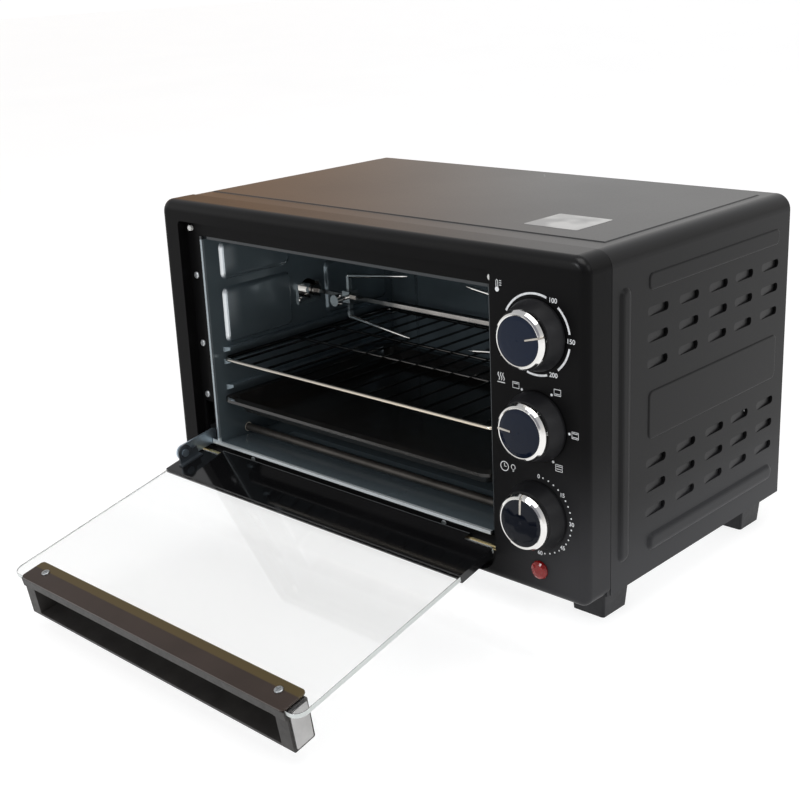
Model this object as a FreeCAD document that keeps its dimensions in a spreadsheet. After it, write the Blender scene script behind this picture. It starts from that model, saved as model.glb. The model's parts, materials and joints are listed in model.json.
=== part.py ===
import FreeCAD, Part
import math
import os
import Sketcher
from FreeCAD import Vector as V, Placement, Rotation

# Countertop toaster oven with a drop-down glass door, three knobs, wire rack,
# baking tray, four tubular heaters and a rotisserie spit.
#
# Working frame while drawing: X across (knob side +X), Y to the back with
# y = 0 on the front face of the bezel, Z up with z = 0 under the feet.
# Every piece is then set back by the cell "setback", so the row's origin is
# the point under the centre of the four feet.

doc = FreeCAD.newDocument("toaster_oven")
sheet = doc.addObject("Spreadsheet::Sheet", "dims")
sheet.Label = "dims"

CELLS = [
    ("case_w", 440.0), ("case_top", 270.7), ("case_bottom", 26.0), ("case_depth", 265.5),
    ("setback", 149.5), ("bezel_depth", 27.5), ("bezel_wall", 2.5), ("corner_rad", 12.0), ("bezel_round", 6.5),
    ("recess_left", -198.5), ("recess_right", 140.4), ("recess_top", 253.5), ("recess_low", 28.5), ("recess_floor", 9.5),
    ("open_left", -182.0), ("open_right", 132.0), ("open_low", 54.0), ("open_top", 241.0),
    ("sheet_thick", 1.0), ("seam_gap", 1.2),
    ("cav_left", -180.0), ("cav_right", 130.0), ("cav_low", 56.0), ("cav_top", 239.0), ("cav_back", 235.0),
    ("knob_col", 179.0), ("knob_hi", 214.9), ("knob_mid", 151.2), ("knob_low", 86.5),
    ("knob_skirt_rad", 24.6), ("knob_neck_rad", 20.9), ("knob_ring_rad", 20.2), ("knob_face_rad", 17.0),
    ("knob_skirt_len", 13.2), ("knob_ring_len", 19.4), ("knob_cap_len", 19.0), ("shaft_rad", 3.0), ("shaft_len", 45.0),
    ("lamp_col", 180.2), ("lamp_up", 45.2), ("lamp_rad", 6.8),
    ("hinge_out", 3.6), ("hinge_up", 48.3), ("door_open_deg", 103.0), ("pin_rad", 2.0),
    ("glass_left", -196.5), ("glass_right", 139.4), ("glass_thick", 4.0), ("glass_in", 3.0), ("glass_free", 203.0),
    ("rail_top", 42.0), ("handle_left", -180.0), ("handle_right", 127.6), ("handle_deep", 30.0), ("handle_back", 184.0), ("handle_front", 205.5),
    ("foot_low_x", 26.8), ("foot_high_x", 31.0), ("foot_col", 193.2), ("foot_fore", 52.8), ("foot_aft", 244.8), ("foot_tall", 26.0),
    ("tube_rad", 3.4), ("heat_low", 61.5), ("heat_high", 233.5), ("heat_fore", 43.0), ("heat_aft", 196.0),
    ("rack_up", 131.6), ("rack_fore", 19.0), ("rack_aft", 224.0), ("rack_wire", 1.6), ("rack_rod", 1.0),
    ("tray_up", 98.0), ("tray_deep", 13.0), ("tray_fore", 12.0), ("tray_aft", 224.0),
    ("spit_back", 125.0), ("spit_up", 172.0), ("spit_half", 1.7), ("spit_angle", 45.0),
    ("louvre_long", 26.0), ("louvre_tall", 6.4), ("louvre_deep", 2.2), ("louvre_pitch", 39.4), ("louvre_row", 18.6),
    ("louvre_start", 70.0), ("louvre_hi", 220.3), ("louvre_lo", 110.3),
    ("bumper_rad", 2.4),
]
D = {}
for i, (alias, value) in enumerate(CELLS):
    cell = "B%d" % (i + 1)
    sheet.set("A%d" % (i + 1), alias)
    sheet.set(cell, repr(float(value)))
    sheet.setAlias(cell, alias)
    D[alias] = float(value)
doc.recompute()
for alias in D:
    D[alias] = float(sheet.get(alias))

W2 = D["case_w"] / 2
SET = D["setback"]
NODES = []


def frame(x=0.0, y=0.0, z=0.0, rot=None):
    """Placement of a piece given in the working frame, moved to the row frame."""
    return Placement(V(x, y - SET, z), rot or Rotation())


def bind_place(obj, x=None, y=None, z=None):
    for axis, e in (("x", x), ("y", y), ("z", z)):
        if e:
            obj.setExpression("Placement.Base." + axis, e)


DOOR_ROT = Rotation(V(1, 0, 0), D["door_open_deg"])


def door_place():
    """Door pieces are drawn standing closed, with (y, z) = (0, 0) on the hinge axis."""
    return Placement(V(0, D["hinge_out"] - SET, D["hinge_up"]), DOOR_ROT)


def feature(label, shape, place=None):
    o = doc.addObject("Part::Feature", label)
    o.Label = label
    if not isinstance(shape, Part.Compound) and shape.ShapeType == "Compound" and len(shape.Solids) == 1:
        shape = shape.Solids[0]
    if shape.ShapeType == "Compound" and len(shape.Solids) == 1:
        shape = shape.Solids[0]
    o.Shape = shape
    o.Placement = place if place is not None else frame()
    NODES.append(o)
    return o


def bx(x0, x1, y0, y1, z0, z1):
    return Part.makeBox(x1 - x0, y1 - y0, z1 - z0, V(x0, y0, z0))


def cyl(r, p, d, length):
    return Part.makeCylinder(r, length, V(*p), V(*d))


def fuse(first, *rest):
    out = first.fuse(list(rest)) if rest else first
    return out.removeSplitter()


def cut(first, *rest):
    return first.cut(list(rest)) if rest else first


def rrect(x0, x1, z0, z1, r, y, depth, rb=None):
    """Solid with a rounded rectangle section in XZ, from y to y + depth. rb is the radius of the two bottom corners."""
    rb = r if rb is None else rb
    pts, arcs = [], []
    corners = [(x0, z0, rb, 1, 1), (x1, z0, rb, -1, 1), (x1, z1, r, -1, -1), (x0, z1, r, 1, -1)]
    edges = []
    ends = []
    k = math.sqrt(0.5)
    for n, (cx, cz, rad, sx, sz) in enumerate(corners):
        if n == 0:
            a, b = (cx, cz + rad), (cx + rad, cz)
        elif n == 1:
            a, b = (cx - rad, cz), (cx, cz + rad)
        elif n == 2:
            a, b = (cx, cz - rad), (cx - rad, cz)
        else:
            a, b = (cx + rad, cz), (cx, cz - rad)
        mid = (cx + sx * rad * (1 - k), cz + sz * rad * (1 - k))
        ends.append((a, mid, b, rad))
    for n, (a, mid, b, rad) in enumerate(ends):
        if rad > 0.01:
            edges.append(Part.Arc(V(a[0], y, a[1]), V(mid[0], y, mid[1]), V(b[0], y, b[1])).toShape())
        nxt = ends[(n + 1) % 4][0]
        if V(b[0], y, b[1]).distanceToPoint(V(nxt[0], y, nxt[1])) > 1e-6:
            edges.append(Part.makeLine(V(b[0], y, b[1]), V(nxt[0], y, nxt[1])))
    face = Part.Face(Part.Wire(edges))
    return face.extrude(V(0, depth, 0))


def prism(points, direction):
    w = Part.makePolygon([V(*p) for p in points] + [V(*points[0])])
    return Part.Face(w).extrude(V(*direction))


def loft(wires):
    return Part.makeLoft(wires, True, True)


def ring_yz(x, y0, y1, z0, z1):
    return Part.makePolygon([V(x, y0, z0), V(x, y1, z0), V(x, y1, z1), V(x, y0, z1), V(x, y0, z0)])


def round_yz(x, y0, y1, z0, z1, r):
    """Closed wire, a rounded rectangle in YZ."""
    k = r * (1 - math.sqrt(0.5))
    line = lambda a, b: Part.makeLine(V(x, *a), V(x, *b))
    arc = lambda a, m, b: Part.Arc(V(x, *a), V(x, *m), V(x, *b)).toShape()
    return Part.Wire([
        line((y0 + r, z0), (y1 - r, z0)), arc((y1 - r, z0), (y1 - k, z0 + k), (y1, z0 + r)),
        line((y1, z0 + r), (y1, z1 - r)), arc((y1, z1 - r), (y1 - k, z1 - k), (y1 - r, z1)),
        line((y1 - r, z1), (y0 + r, z1)), arc((y0 + r, z1), (y0 + k, z1 - k), (y0, z1 - r)),
        line((y0, z1 - r), (y0, z0 + r)), arc((y0, z0 + r), (y0 + k, z0 + k), (y0 + r, z0)),
    ])


def pressed(xa, xb, y0, y1, z0, z1, run0, run1, runz, r):
    """Field pressed from plane x = xa out to x = xb, its borders rolled over like drawn sheet."""
    wires = []
    for u, v in ((0.0, 0.0), (0.22, 0.30), (0.45, 0.72), (0.7, 0.93), (1.0, 1.0)):
        ya, yb, za, zb = y0 + run0 * u, y1 - run1 * u, z0 + runz * u, z1 - runz * u
        rad = min(r - min(run0, runz) * u * 0.8, (yb - ya) / 2 - 0.4, (zb - za) / 2 - 0.4)
        wires.append(round_yz(xa + (xb - xa) * v, ya, yb, za, zb, rad))
    return loft(wires)


def rect_xy(x0, x1, y0, y1, z):
    return Part.makePolygon([V(x0, y0, z), V(x1, y0, z), V(x1, y1, z), V(x0, y1, z), V(x0, y0, z)])


def ring_xz(y, x0, x1, z0, z1):
    return Part.makePolygon([V(x0, y, z0), V(x1, y, z0), V(x1, y, z1), V(x0, y, z1), V(x0, y, z0)])


# ---------------------------------------------------------------- PartDesign helpers


def val(v):
    return D[v] if isinstance(v, str) else float(v)


def new_body(label, place):
    b = doc.addObject("PartDesign::Body", label)
    b.Label = label
    b.Placement = place
    NODES.append(b)
    return b


def new_sketch(b, role, name):
    s = b.newObject("Sketcher::SketchObject", name)
    s.AttachmentSupport = [(next(o for o in b.Origin.OriginFeatures if o.Role == role), "")]
    s.MapMode = "FlatFace"
    return s


def outline(s, pts):
    """Closed outline. A coordinate that is a cell's name is bound to that cell."""
    n = len(pts)
    xy = [(val(p[0]), val(p[1])) for p in pts]
    for i in range(n):
        a, b = xy[i], xy[(i + 1) % n]
        s.addGeometry(Part.LineSegment(V(a[0], a[1], 0), V(b[0], b[1], 0)), False)
    for i in range(n):
        s.addConstraint(Sketcher.Constraint("Coincident", i, 2, (i + 1) % n, 1))
    for i in range(n):
        for axis, kind, ref, on in ((0, "DistanceX", -1, -2), (1, "DistanceY", -1, -1)):
            v = xy[i][axis]
            if abs(v) < 1e-9:
                s.addConstraint(Sketcher.Constraint("PointOnObject", i, 1, on))
            else:
                c = s.addConstraint(Sketcher.Constraint(kind, -1, 1, i, 1, v))
                if isinstance(pts[i][axis], str):
                    s.setExpression("Constraints[%d]" % c, "dims." + pts[i][axis])


def turned(label, pts, place, bind=None):
    """A turned piece: pts are (radius, distance along the axis), and the axis is the piece's own Y."""
    b = new_body(label, place)
    s = new_sketch(b, "XY_Plane", label + "_profile")
    outline(s, pts)
    r = b.newObject("PartDesign::Revolution", label + "_turn")
    r.Profile = s
    r.ReferenceAxis = (s, ["V_Axis"])
    r.Angle = 360.0
    b.Tip = r
    if bind:
        bind_place(b, *bind)
    return b


def plate(label, role, pts, length, place, holes=(), bind=None):
    """A padded plate with round through holes (x, y, radius) in the sketch plane."""
    b = new_body(label, place)
    s = new_sketch(b, role, label + "_outline")
    outline(s, pts)
    p = b.newObject("PartDesign::Pad", label + "_pad")
    p.Profile = s
    p.Length = val(length)
    if isinstance(length, str):
        p.setExpression("Length", "dims." + length)
    b.Tip = p
    if holes:
        doc.recompute()
        before = b.Shape.Volume
        h = new_sketch(b, role, label + "_holes")
        for k, (cx, cy, r) in enumerate(holes):
            h.addGeometry(Part.Circle(V(cx, cy, 0), V(0, 0, 1), val(r)), False)
            c = h.addConstraint(Sketcher.Constraint("Radius", k, val(r)))
            if isinstance(r, str):
                h.setExpression("Constraints[%d]" % c, "dims." + r)
        q = b.newObject("PartDesign::Pocket", label + "_pocket")
        q.Profile = h
        q.Type = "ThroughAll"
        q.Midplane = True
        b.Tip = q
        doc.recompute()
        if not b.Shape.Volume < before - 1:
            raise RuntimeError(label + ": pocket cut nothing")
    if bind:
        bind_place(b, *bind)
    return b


# ================================================================ front bezel
bz = rrect(-W2, W2, D["case_bottom"], D["case_top"], D["corner_rad"], 0, D["bezel_depth"], 7.5)
front_edges = [e for e in bz.Edges if max(v.Point.y for v in e.Vertexes) < 0.01]
bz = bz.makeFillet(D["bezel_round"], front_edges)
w = D["bezel_wall"]
hollow = rrect(-W2 + w, W2 - w, D["case_bottom"] + w, D["case_top"] - w, D["corner_rad"] - w, w + 1.0, 60, 5.0)
hollow = cut(hollow, bx(D["recess_left"] - w, D["recess_right"] + w, -1, D["recess_floor"] + w, D["recess_low"] - w - 4, D["recess_top"] + w))
corner_fill = []
bz = cut(bz, hollow)
recess = rrect(D["recess_left"], D["recess_right"], D["recess_low"], D["recess_top"], 4.0, -5, 5 + D["recess_floor"], 19.0)
opening = bx(D["open_left"], D["open_right"], -5, 60, D["open_low"], D["open_top"])
bz = cut(bz, recess, opening)
# stepped inner line around the recess edge of the left post
kx = D["knob_col"]
knob_z = (D["knob_hi"], D["knob_mid"], D["knob_low"])
tools = [cyl(3.5, (kx, -5, z), (0, 1, 0), 40) for z in knob_z]
tools.append(cyl(5.6, (D["lamp_col"], -5, D["lamp_up"]), (0, 1, 0), 40))
# link slot and hinge pin bearings
tools.append(bx(-194.6, -184.2, 5, 20, 50.5, 93.0))
hy, hz = D["hinge_out"], D["hinge_up"]
tools.append(cyl(D["pin_rad"] + 0.08, (-206.5, hy, hz), (1, 0, 0), 12))
tools.append(cyl(D["pin_rad"] + 0.08, (137.0, hy, hz), (1, 0, 0), 10))
# clearance holes for the bezel screws
SCREWS_L = [(-190.3, 206.0), (-190.3, 146.0), (-190.3, 99.5)]
SCREWS_B = [(-135.5, 50.8), (83.0, 50.8)]
for x, z in SCREWS_L + SCREWS_B:
    tools.append(cyl(1.6, (x, 5, z), (0, 1, 0), 20))
bumper_at = [(-192.4, 246.6), (134.9, 246.6)]
for x, z in bumper_at:
    tools.append(cyl(1.5, (x, 5, z), (0, 1, 0), 20))
# square returns behind the two lower corners close the gap to the wrap
for s in (-1, 1):
    xa, xb = sorted((s * (W2 - 8.2), s * (W2 - 0.6)))
    bz = bz.fuse(bx(xa, xb, 24.5, D["bezel_depth"], D["case_bottom"] + 0.5, D["case_bottom"] + 12.0))
bz = cut(bz.removeSplitter(), *tools)
feature("front_bezel", bz)

# ================================================================ cabinet wrap (top and both sides, one pressed sheet)
t = D["sheet_thick"]
y0, y1 = D["bezel_depth"] + D["seam_gap"], D["case_depth"]
xo, zt = W2 - 0.5, D["case_top"] - 0.5
wrap = rrect(-xo, xo, -20, zt, D["corner_rad"], y0, y1 - y0)
inner = rrect(-xo + t, xo - t, -30, zt - t, D["corner_rad"] - t, y0 - 5, y1 - y0 + 10)
wrap = cut(wrap, inner, bx(-300, 300, -10, 400, -40, D["case_bottom"]))
# rear flange turned in by 7 mm
fl = rrect(-xo, xo, -20, zt, D["corner_rad"], y1 - t, t)
fl = cut(fl, rrect(-xo + 7, xo - 7, -30, zt - 7, 6.0, y1 - 10, 30), bx(-300, 300, -10, 400, -40, D["case_bottom"]))
adds, cuts = [], []


def side_pad(s, ya, yb, za, zb, rise, run, r=4.0):
    """Pressed-out field on a side wall."""
    return pressed(s * (xo - 0.3), s * (xo + rise), ya, yb, za, zb, run, run, run, r)


for s in (-1, 1):
    adds.append(side_pad(s, 71, 250, 234.5, 247.5, 0.8, 1.8, 4.5))
    adds.append(side_pad(s, 72, 251, 127.5, 164.0, 0.8, 1.9, 5.0))
    adds.append(side_pad(s, 73, 251.5, 42.0, 56.5, 2.4, 4.6, 6.5))
    adds.append(side_pad(s, 36.5, 50.5, 46.0, 243.5, 2.0, 5.0, 6.0))
    for top in (D["louvre_hi"], D["louvre_lo"]):
        for row in range(3):
            zc = top - row * D["louvre_row"]
            for col in range(5):
                ya = D["louvre_start"] + col * (D["louvre_pitch"] - (0.9 if col > 2 else 0.0))
                yb = ya + D["louvre_long"]
                h = D["louvre_tall"] / 2
                dp = D["louvre_deep"]
                X = lambda d: s * (xo - d)
                lobe = Part.Face(round_yz(X(-3), ya + 0.6, yb, zc - h, zc + h, 2.9)).extrude(V(-s * (dp + 9), 0, 0))
                rim_ = Part.Face(round_yz(X(t * 0.5), ya - 0.4, yb + 0.8, zc - h - 0.8, zc + h + 0.8, 3.7)).extrude(V(-s * (dp + 0.9 - t * 0.5), 0, 0))
                below = prism([(X(t), ya - 2, zc - h - 3), (X(dp + 0.9), yb - 1.9, zc - h - 3), (X(dp + 6), yb - 1.9, zc - h - 3), (X(dp + 6), ya - 2, zc - h - 3)], (0, 0, 2 * h + 6))
                above = prism([(X(-4), ya - 2, zc - h - 3), (X(0), ya + 0.6, zc - h - 3), (X(dp), yb - 1.9, zc - h - 3), (X(dp + 7), yb - 1.9, zc - h - 3), (X(dp + 7), yb + 3, zc - h - 3), (X(-4), yb + 3, zc - h - 3)], (0, 0, 2 * h + 6))
                adds.append(cut(rim_, below))
                cuts.append(lobe.common(above))
# raised field on the top, with a notch at the back
top_pts_a = [(-208, 46), (202, 46), (202, 251), (54, 251), (46, 243), (4, 243), (-6, 255), (-208, 255)]
top_pts_b = [(-206, 48), (200, 48), (200, 249), (55, 249), (47, 241), (3, 241), (-7, 253), (-206, 253)]
wa = Part.makePolygon([V(x, y, zt - 0.3) for x, y in top_pts_a + top_pts_a[:1]])
wb = Part.makePolygon([V(x, y, zt + 0.6) for x, y in top_pts_b + top_pts_b[:1]])
adds.append(loft([wa, wb]))
wrap = cut(wrap.fuse([fl] + adds), *cuts)
wrap = wrap.removeSplitter()
feature("cabinet_wrap", wrap)

# ================================================================ back and bottom panels
bp = rrect(-W2 + 2.2, W2 - 2.2, D["case_bottom"] + 0.6, zt - t - 0.5, D["corner_rad"] - 2, y1 - t - 1.25, 1.0)
bulge = loft([ring_xz(y1 - t - 1.0, -150, 118, 84, 214), ring_xz(y1 + 5.0, -144, 112, 90, 208)])
bulge_in = loft([ring_xz(y1 - t - 2.3, -149, 117, 85, 213), ring_xz(y1 + 4.0, -143, 111, 91, 207)])
window = bx(-198, 198, y1 - 12, y1 + 8, 44, 252)
bp = cut(bp.fuse([bulge]), bulge_in)
slots = []
for i in range(4):
    slots.append(bx(150, 190, y1 - 20, y1 + 20, 80 + i * 9, 83.5 + i * 9))
for i in range(12):
    slots.append(bx(-180 + i * 30, -162 + i * 30, y1 - 20, y1 + 20, 228, 231.5))
    slots.append(bx(-180 + i * 30, -162 + i * 30, y1 - 20, y1 + 20, 236, 239.5))
cord_x, cord_z = 178.0, 62.0
slots.append(cyl(7.2, (cord_x, y1 - 20, cord_z), (0, 1, 0), 60))
BACK_SCREWS = [(-207, 60), (-207, 150), (-207, 240), (207, 60), (207, 150), (207, 240), (-110, 36), (0, 36), (110, 36)]
for x, z in BACK_SCREWS:
    slots.append(cyl(1.7, (x, y1 - 20, z), (0, 1, 0), 60))
bp = cut(bp, *slots)
feature("back_panel", bp.removeSplitter())

btm = bx(-W2 + 2.4, W2 - 2.4, y0 + 0.5, y1 - 2.6, D["case_bottom"] + 0.2, D["case_bottom"] + 1.2)
lip = bx(-W2 + 2.4, W2 - 2.4, y1 - 13.5, y1 - 2.6, D["case_bottom"] + 0.2, D["case_bottom"] + 1.2)
bs = []
for i in range(10):
    bs.append(bx(-150 + i * 28, -134 + i * 28, 90, 94, 20, 32))
    bs.append(bx(-150 + i * 28, -134 + i * 28, 104, 108, 20, 32))
for fx in (-1, 1):
    for fy in (D["foot_fore"], D["foot_aft"]):
        bs.append(cyl(2.2, (fx * D["foot_col"], fy, 15), (0, 0, 1), 30))
feature("bottom_panel", cut(btm, *bs))

# ================================================================ feet
for label, sx, fy in (
    ("foot_front_left", -1, "foot_fore"),
    ("foot_front_right", 1, "foot_fore"),
    ("foot_rear_left", -1, "foot_aft"),
    ("foot_rear_right", 1, "foot_aft"),
):
    a, b, h = D["foot_low_x"] / 2, D["foot_high_x"] / 2, D["foot_tall"]
    lo = rect_xy(-a, a, -a - 0.7, a + 0.7, 0)
    hi = rect_xy(-b, b, -b - 0.7, b + 0.7, h)
    f = loft([lo, hi])
    f = f.makeFillet(2.0, [e for e in f.Edges if abs(e.Vertexes[0].Z - e.Vertexes[1].Z) > 5])
    f = cut(f, cyl(6.5, (0, 0, -1), (0, 0, 1), 7), cyl(2.2, (0, 0, -1), (0, 0, 1), 60))
    o = feature(label, f, frame(sx * D["foot_col"], D[fy], 0))
    bind_place(o, ("dims.foot_col" if sx > 0 else "-dims.foot_col"), "dims.%s - dims.setback" % fy, None)
screw = cyl(2.0, (0, 0, 1.5), (0, 0, 1), 29).fuse(cyl(4.2, (0, 0, 3.4), (0, 0, 1), 2.5)).removeSplitter()
feet_screws = []
for fx in (-1, 1):
    for fy in (D["foot_fore"], D["foot_aft"]):
        s1 = screw.copy()
        s1.translate(V(fx * D["foot_col"], fy, 0))
        feet_screws.append(s1)
feature("foot_screws", Part.makeCompound(feet_screws))

# ================================================================ cavity: two pressed side walls and one bent wrap
CL, CR, CB, CT, CK = D["cav_left"], D["cav_right"], D["cav_low"], D["cav_top"], D["cav_back"]
FRONT, FRONT_BACK = 8.5, 11.6


def side_wall(sign):
    face = CL if sign < 0 else CR
    far = face + sign * 1.0
    x0, x1 = min(face, far), max(face, far)
    wall = bx(x0, x1, 12.5, CK, CB, CT)
    hem = bx(min(face - sign * 0.7, face + sign * 1.7), max(face - sign * 0.7, face + sign * 1.7), FRONT if sign < 0 else FRONT_BACK, 12.7, CB - 1.7, CT + 1.7)
    hem = hem.makeFillet(0.5, [e for e in hem.Edges if e.BoundBox.ZLength > 100 and e.BoundBox.YMax < 12])
    if sign < 0:
        hem = fuse(hem, bx(-188.8, face - 1.2, 8.6, 9.3, CB - 1.7, CB + 2.2))
    X = lambda d: face - sign * d
    press = []
    for ya, yb, za, zb, dx in ((26, 104, 143, 193, 3.0), (26, 104, 199, 233, 3.0), (146, 226, 143, 193, 3.0), (146, 226, 199, 233, 3.0)):
        press.append(pressed(X(-0.3), X(dx), ya, yb, za, zb, 5.0 if ya < 100 else 4.0, 4.0 if ya < 100 else 5.0, 4.5, 6.0))
    for zc in (127.6, 138.6, 92.4, 104.6):
        a = ring_yz(X(-0.3), 22, 228, zc - 2.8, zc + 2.2)
        b = ring_yz(X(6.0), 25, 225, zc - 0.6, zc + 1.9)
        press.append(loft([a, b]))
    wall = wall.fuse([hem] + press).removeSplitter()
    holes = []
    for hy_, hz_ in ((D["heat_fore"], D["heat_low"]), (D["heat_aft"], D["heat_low"]), (D["heat_fore"], D["heat_high"]), (D["heat_aft"], D["heat_high"])):
        holes.append(cyl(4.2, (face - 20, hy_, hz_), (1, 0, 0), 40))
    holes.append(cyl(9.0, (face - 20, D["spit_back"], D["spit_up"]), (1, 0, 0), 40))
    return cut(wall, *holes)


feature("cavity_side_left", side_wall(-1))
feature("cavity_side_right", side_wall(1))
wr = fuse(
    bx(CL - 1.0, CR + 1.0, 12.5, CK + 1.0, CB - 1.05, CB - 0.05),
    bx(CL - 1.0, CR + 1.0, 12.5, CK + 1.0, CT + 0.05, CT + 1.05),
    bx(CL - 1.0, CR + 1.0, CK + 0.05, CK + 1.0, CB - 1.05, CT + 1.05),
    bx(CL + 0.75, CR - 0.75, FRONT, 13.0, CB - 1.7, CB + 0.9),
    bx(CL + 0.75, CR - 0.75, FRONT_BACK, 13.0, CT - 0.9, CT + 1.7),
    loft([ring_xz(CK + 0.3, -150, 100, 84, 210), ring_xz(CK - 2.5, -143, 93, 91, 203)]),
    loft([Part.makePolygon([V(x, y, CB - 0.3) for x, y in ((-150, 60), (100, 60), (100, 180), (-150, 180), (-150, 60))]),
          Part.makePolygon([V(x, y, CB + 1.6) for x, y in ((-144, 66), (94, 66), (94, 174), (-144, 174), (-144, 66))])]),
)
feature("cavity_wrap_sheet", wr)

# ================================================================ heaters
def tube(y, z):
    body = cyl(D["tube_rad"], (CL - 5.2, y, z), (1, 0, 0), CR - CL + 10.4)
    pins = [cyl(1.2, (CL - 7.4, y, z), (1, 0, 0), 3), cyl(1.2, (CR + 5.0, y, z), (1, 0, 0), 12)]
    return fuse(body, *pins)


HEATERS = (
    ("heater_lower_front", D["heat_fore"], D["heat_low"]),
    ("heater_lower_rear", D["heat_aft"], D["heat_low"]),
    ("heater_upper_front", D["heat_fore"], D["heat_high"]),
    ("heater_upper_rear", D["heat_aft"], D["heat_high"]),
)
ceramics = []
for label, y, z in HEATERS:
    feature(label, tube(y, z))
    for x, s in ((CL, -1), (CR, 1)):
        outer = fuse(
            cyl(4.1, (x - (0.0 if s > 0 else 1.4), y, z), (1, 0, 0), 1.4),
            cyl(6.4, (x + (1.05 if s > 0 else -4.4), y, z), (1, 0, 0), 3.35),
        )
        ceramics.append(cut(outer, cyl(D["tube_rad"], (x - 20, y, z), (1, 0, 0), 40)))
feature("heater_insulators", Part.makeCompound(ceramics))

# ================================================================ knobs, shafts and their switches
out = Rotation(V(0, 0, 1), 180)
KNOBS = (("thermostat", "knob_hi"), ("function", "knob_mid"), ("timer", "knob_low"))
for name, cell in KNOBS:
    place = frame(kx, 0, D[cell], out)
    bind = ("dims.knob_col", "-dims.setback", "dims." + cell)
    turned(name + "_knob_body", [("shaft_rad", 0.8), ("knob_skirt_rad", 0.8), ("knob_skirt_rad", 2.6), ("knob_neck_rad", "knob_skirt_len"), (16.9, "knob_skirt_len"), (16.9, "knob_cap_len"), (14.0, 19.5), (7.0, 19.9), (0, 20.0), (0, 11.4), ("shaft_rad", 11.4)], place, bind)
    turned(name + "_knob_ring", [("knob_face_rad", 13.25), ("knob_ring_rad", 13.25), ("knob_ring_rad", 16.4), (18.9, 18.6), (17.6, "knob_ring_len"), ("knob_face_rad", 19.2)], place, bind)
    turned(name + "_shaft", [(0, 11.3), ("shaft_rad", 11.3), ("shaft_rad", -30.0), (0, -30.0)], place, bind)

PLY = 12.4
plate("control_plate", "XZ_Plane", [(-34, -176), (34, -176), (34, 36), (-34, 36)], "sheet_thick", frame(kx + 2, PLY + 1.0, D["knob_hi"]),
      holes=[(-2, 0, 5.2), (-2, D["knob_mid"] - D["knob_hi"], 5.2), (-2, D["knob_low"] - D["knob_hi"], 5.2), (D["lamp_col"] - kx - 2, D["lamp_up"] - D["knob_hi"], 7.4)])


def switch(z, shape_list, bush=5.0):
    parts = [cyl(bush, (kx, 3.7, z), (0, 1, 0), 12.0)] + shape_list
    return cut(fuse(*parts), cyl(D["shaft_rad"] + 0.06, (kx, -10, z), (0, 1, 0), 41.0))


ys = PLY + 1.05
feature("thermostat_body", switch(D["knob_hi"], [bx(kx - 13, kx + 13, ys, ys + 9, D["knob_hi"] - 16, D["knob_hi"] + 16), bx(kx - 9, kx + 9, ys + 9, ys + 24, D["knob_hi"] - 22, D["knob_hi"] + 10), bx(kx - 3, kx + 3, ys + 24, ys + 33, D["knob_hi"] - 19, D["knob_hi"] - 18)]))
feature("function_switch_body", switch(D["knob_mid"], [bx(kx - 16, kx + 16, ys, ys + 22, D["knob_mid"] - 16, D["knob_mid"] + 16), bx(kx - 12, kx - 6, ys + 22, ys + 31, D["knob_mid"] - 8, D["knob_mid"] - 7.2), bx(kx + 6, kx + 12, ys + 22, ys + 31, D["knob_mid"] + 7.2, D["knob_mid"] + 8)]))
feature("timer_body", switch(D["knob_low"], [cyl(22.0, (kx, ys, D["knob_low"]), (0, 1, 0), 22.0), bx(kx - 5, kx + 5, ys + 10, ys + 22, D["knob_low"] + 18, D["knob_low"] + 29)]))
bell = fuse(cyl(19.0, (kx, ys + 24.0, D["knob_low"]), (0, 1, 0), 6.0))
bell = bell.makeFillet(3.0, [e for e in bell.Edges if e.BoundBox.YMin > ys + 29.9])
bell = cut(bell, cyl(17.8, (kx, ys + 23.0, D["knob_low"]), (0, 1, 0), 5.6))
bell = fuse(bell, cyl(2.2, (kx, ys + 22.0, D["knob_low"] - 10), (0, 1, 0), 7.0))
feature("timer_bell", bell)
cs = []
for z, dx in ((D["knob_hi"], 10), (D["knob_mid"], 12), (D["knob_low"], 16)):
    for s in (-1, 1):
        cs.append(fuse(cyl(2.6, (kx + s * dx, PLY - 2.0, z), (0, 1, 0), 1.9)))
feature("switch_screws", Part.makeCompound(cs))

lamp_place = frame(D["lamp_col"], 0, D["lamp_up"], out)
turned("pilot_lamp_lens", [(0, -8.0), (5.3, -8.0), (5.3, 0.1), ("lamp_rad", 0.1), ("lamp_rad", 0.9), (6.2, 2.0), (4.6, 2.9), (2.4, 3.4), (0, 3.5)], lamp_place, ("dims.lamp_col", "-dims.setback", "dims.lamp_up"))
turned("pilot_lamp_holder", [(0, -8.1), (6.6, -8.1), (6.6, -26.0), (0, -26.0)], lamp_place, ("dims.lamp_col", "-dims.setback", "dims.lamp_up"))

# ================================================================ small fixings on the bezel
heads = []
for x, z in SCREWS_L + SCREWS_B:
    low = z < 60
    hr, ht = (2.25, 0.85) if low else (3.0, 1.45)
    hy0 = D["recess_floor"] - 0.05 - ht
    head = cyl(hr, (x, hy0, z), (0, 1, 0), ht)
    head = head.makeFillet(0.5 if low else 0.9, [e for e in head.Edges if e.BoundBox.YMax < hy0 + 0.1])
    arm_ = hr * 0.66
    head = cut(head, bx(x - arm_, x + arm_, hy0 - 0.5, hy0 + 0.55, z - 0.35, z + 0.35), bx(x - 0.35, x + 0.35, hy0 - 0.5, hy0 + 0.55, z - arm_, z + arm_))
    heads.append(fuse(head, cyl(1.5, (x, D["recess_floor"] - 0.2, z), (0, 1, 0), 6.0)))
feature("bezel_screws", Part.makeCompound(heads))
bumps = []
for x, z in bumper_at:
    top = 6.75
    c = cyl(D["bumper_rad"], (x, top, z), (0, 1, 0), D["recess_floor"] - top)
    c = c.makeFillet(0.9, [e for e in c.Edges if e.BoundBox.YMax < top + 0.01])
    bumps.append(fuse(c, cyl(1.5, (x, D["recess_floor"] - 0.1, z), (0, 1, 0), 5.0)))
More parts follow.
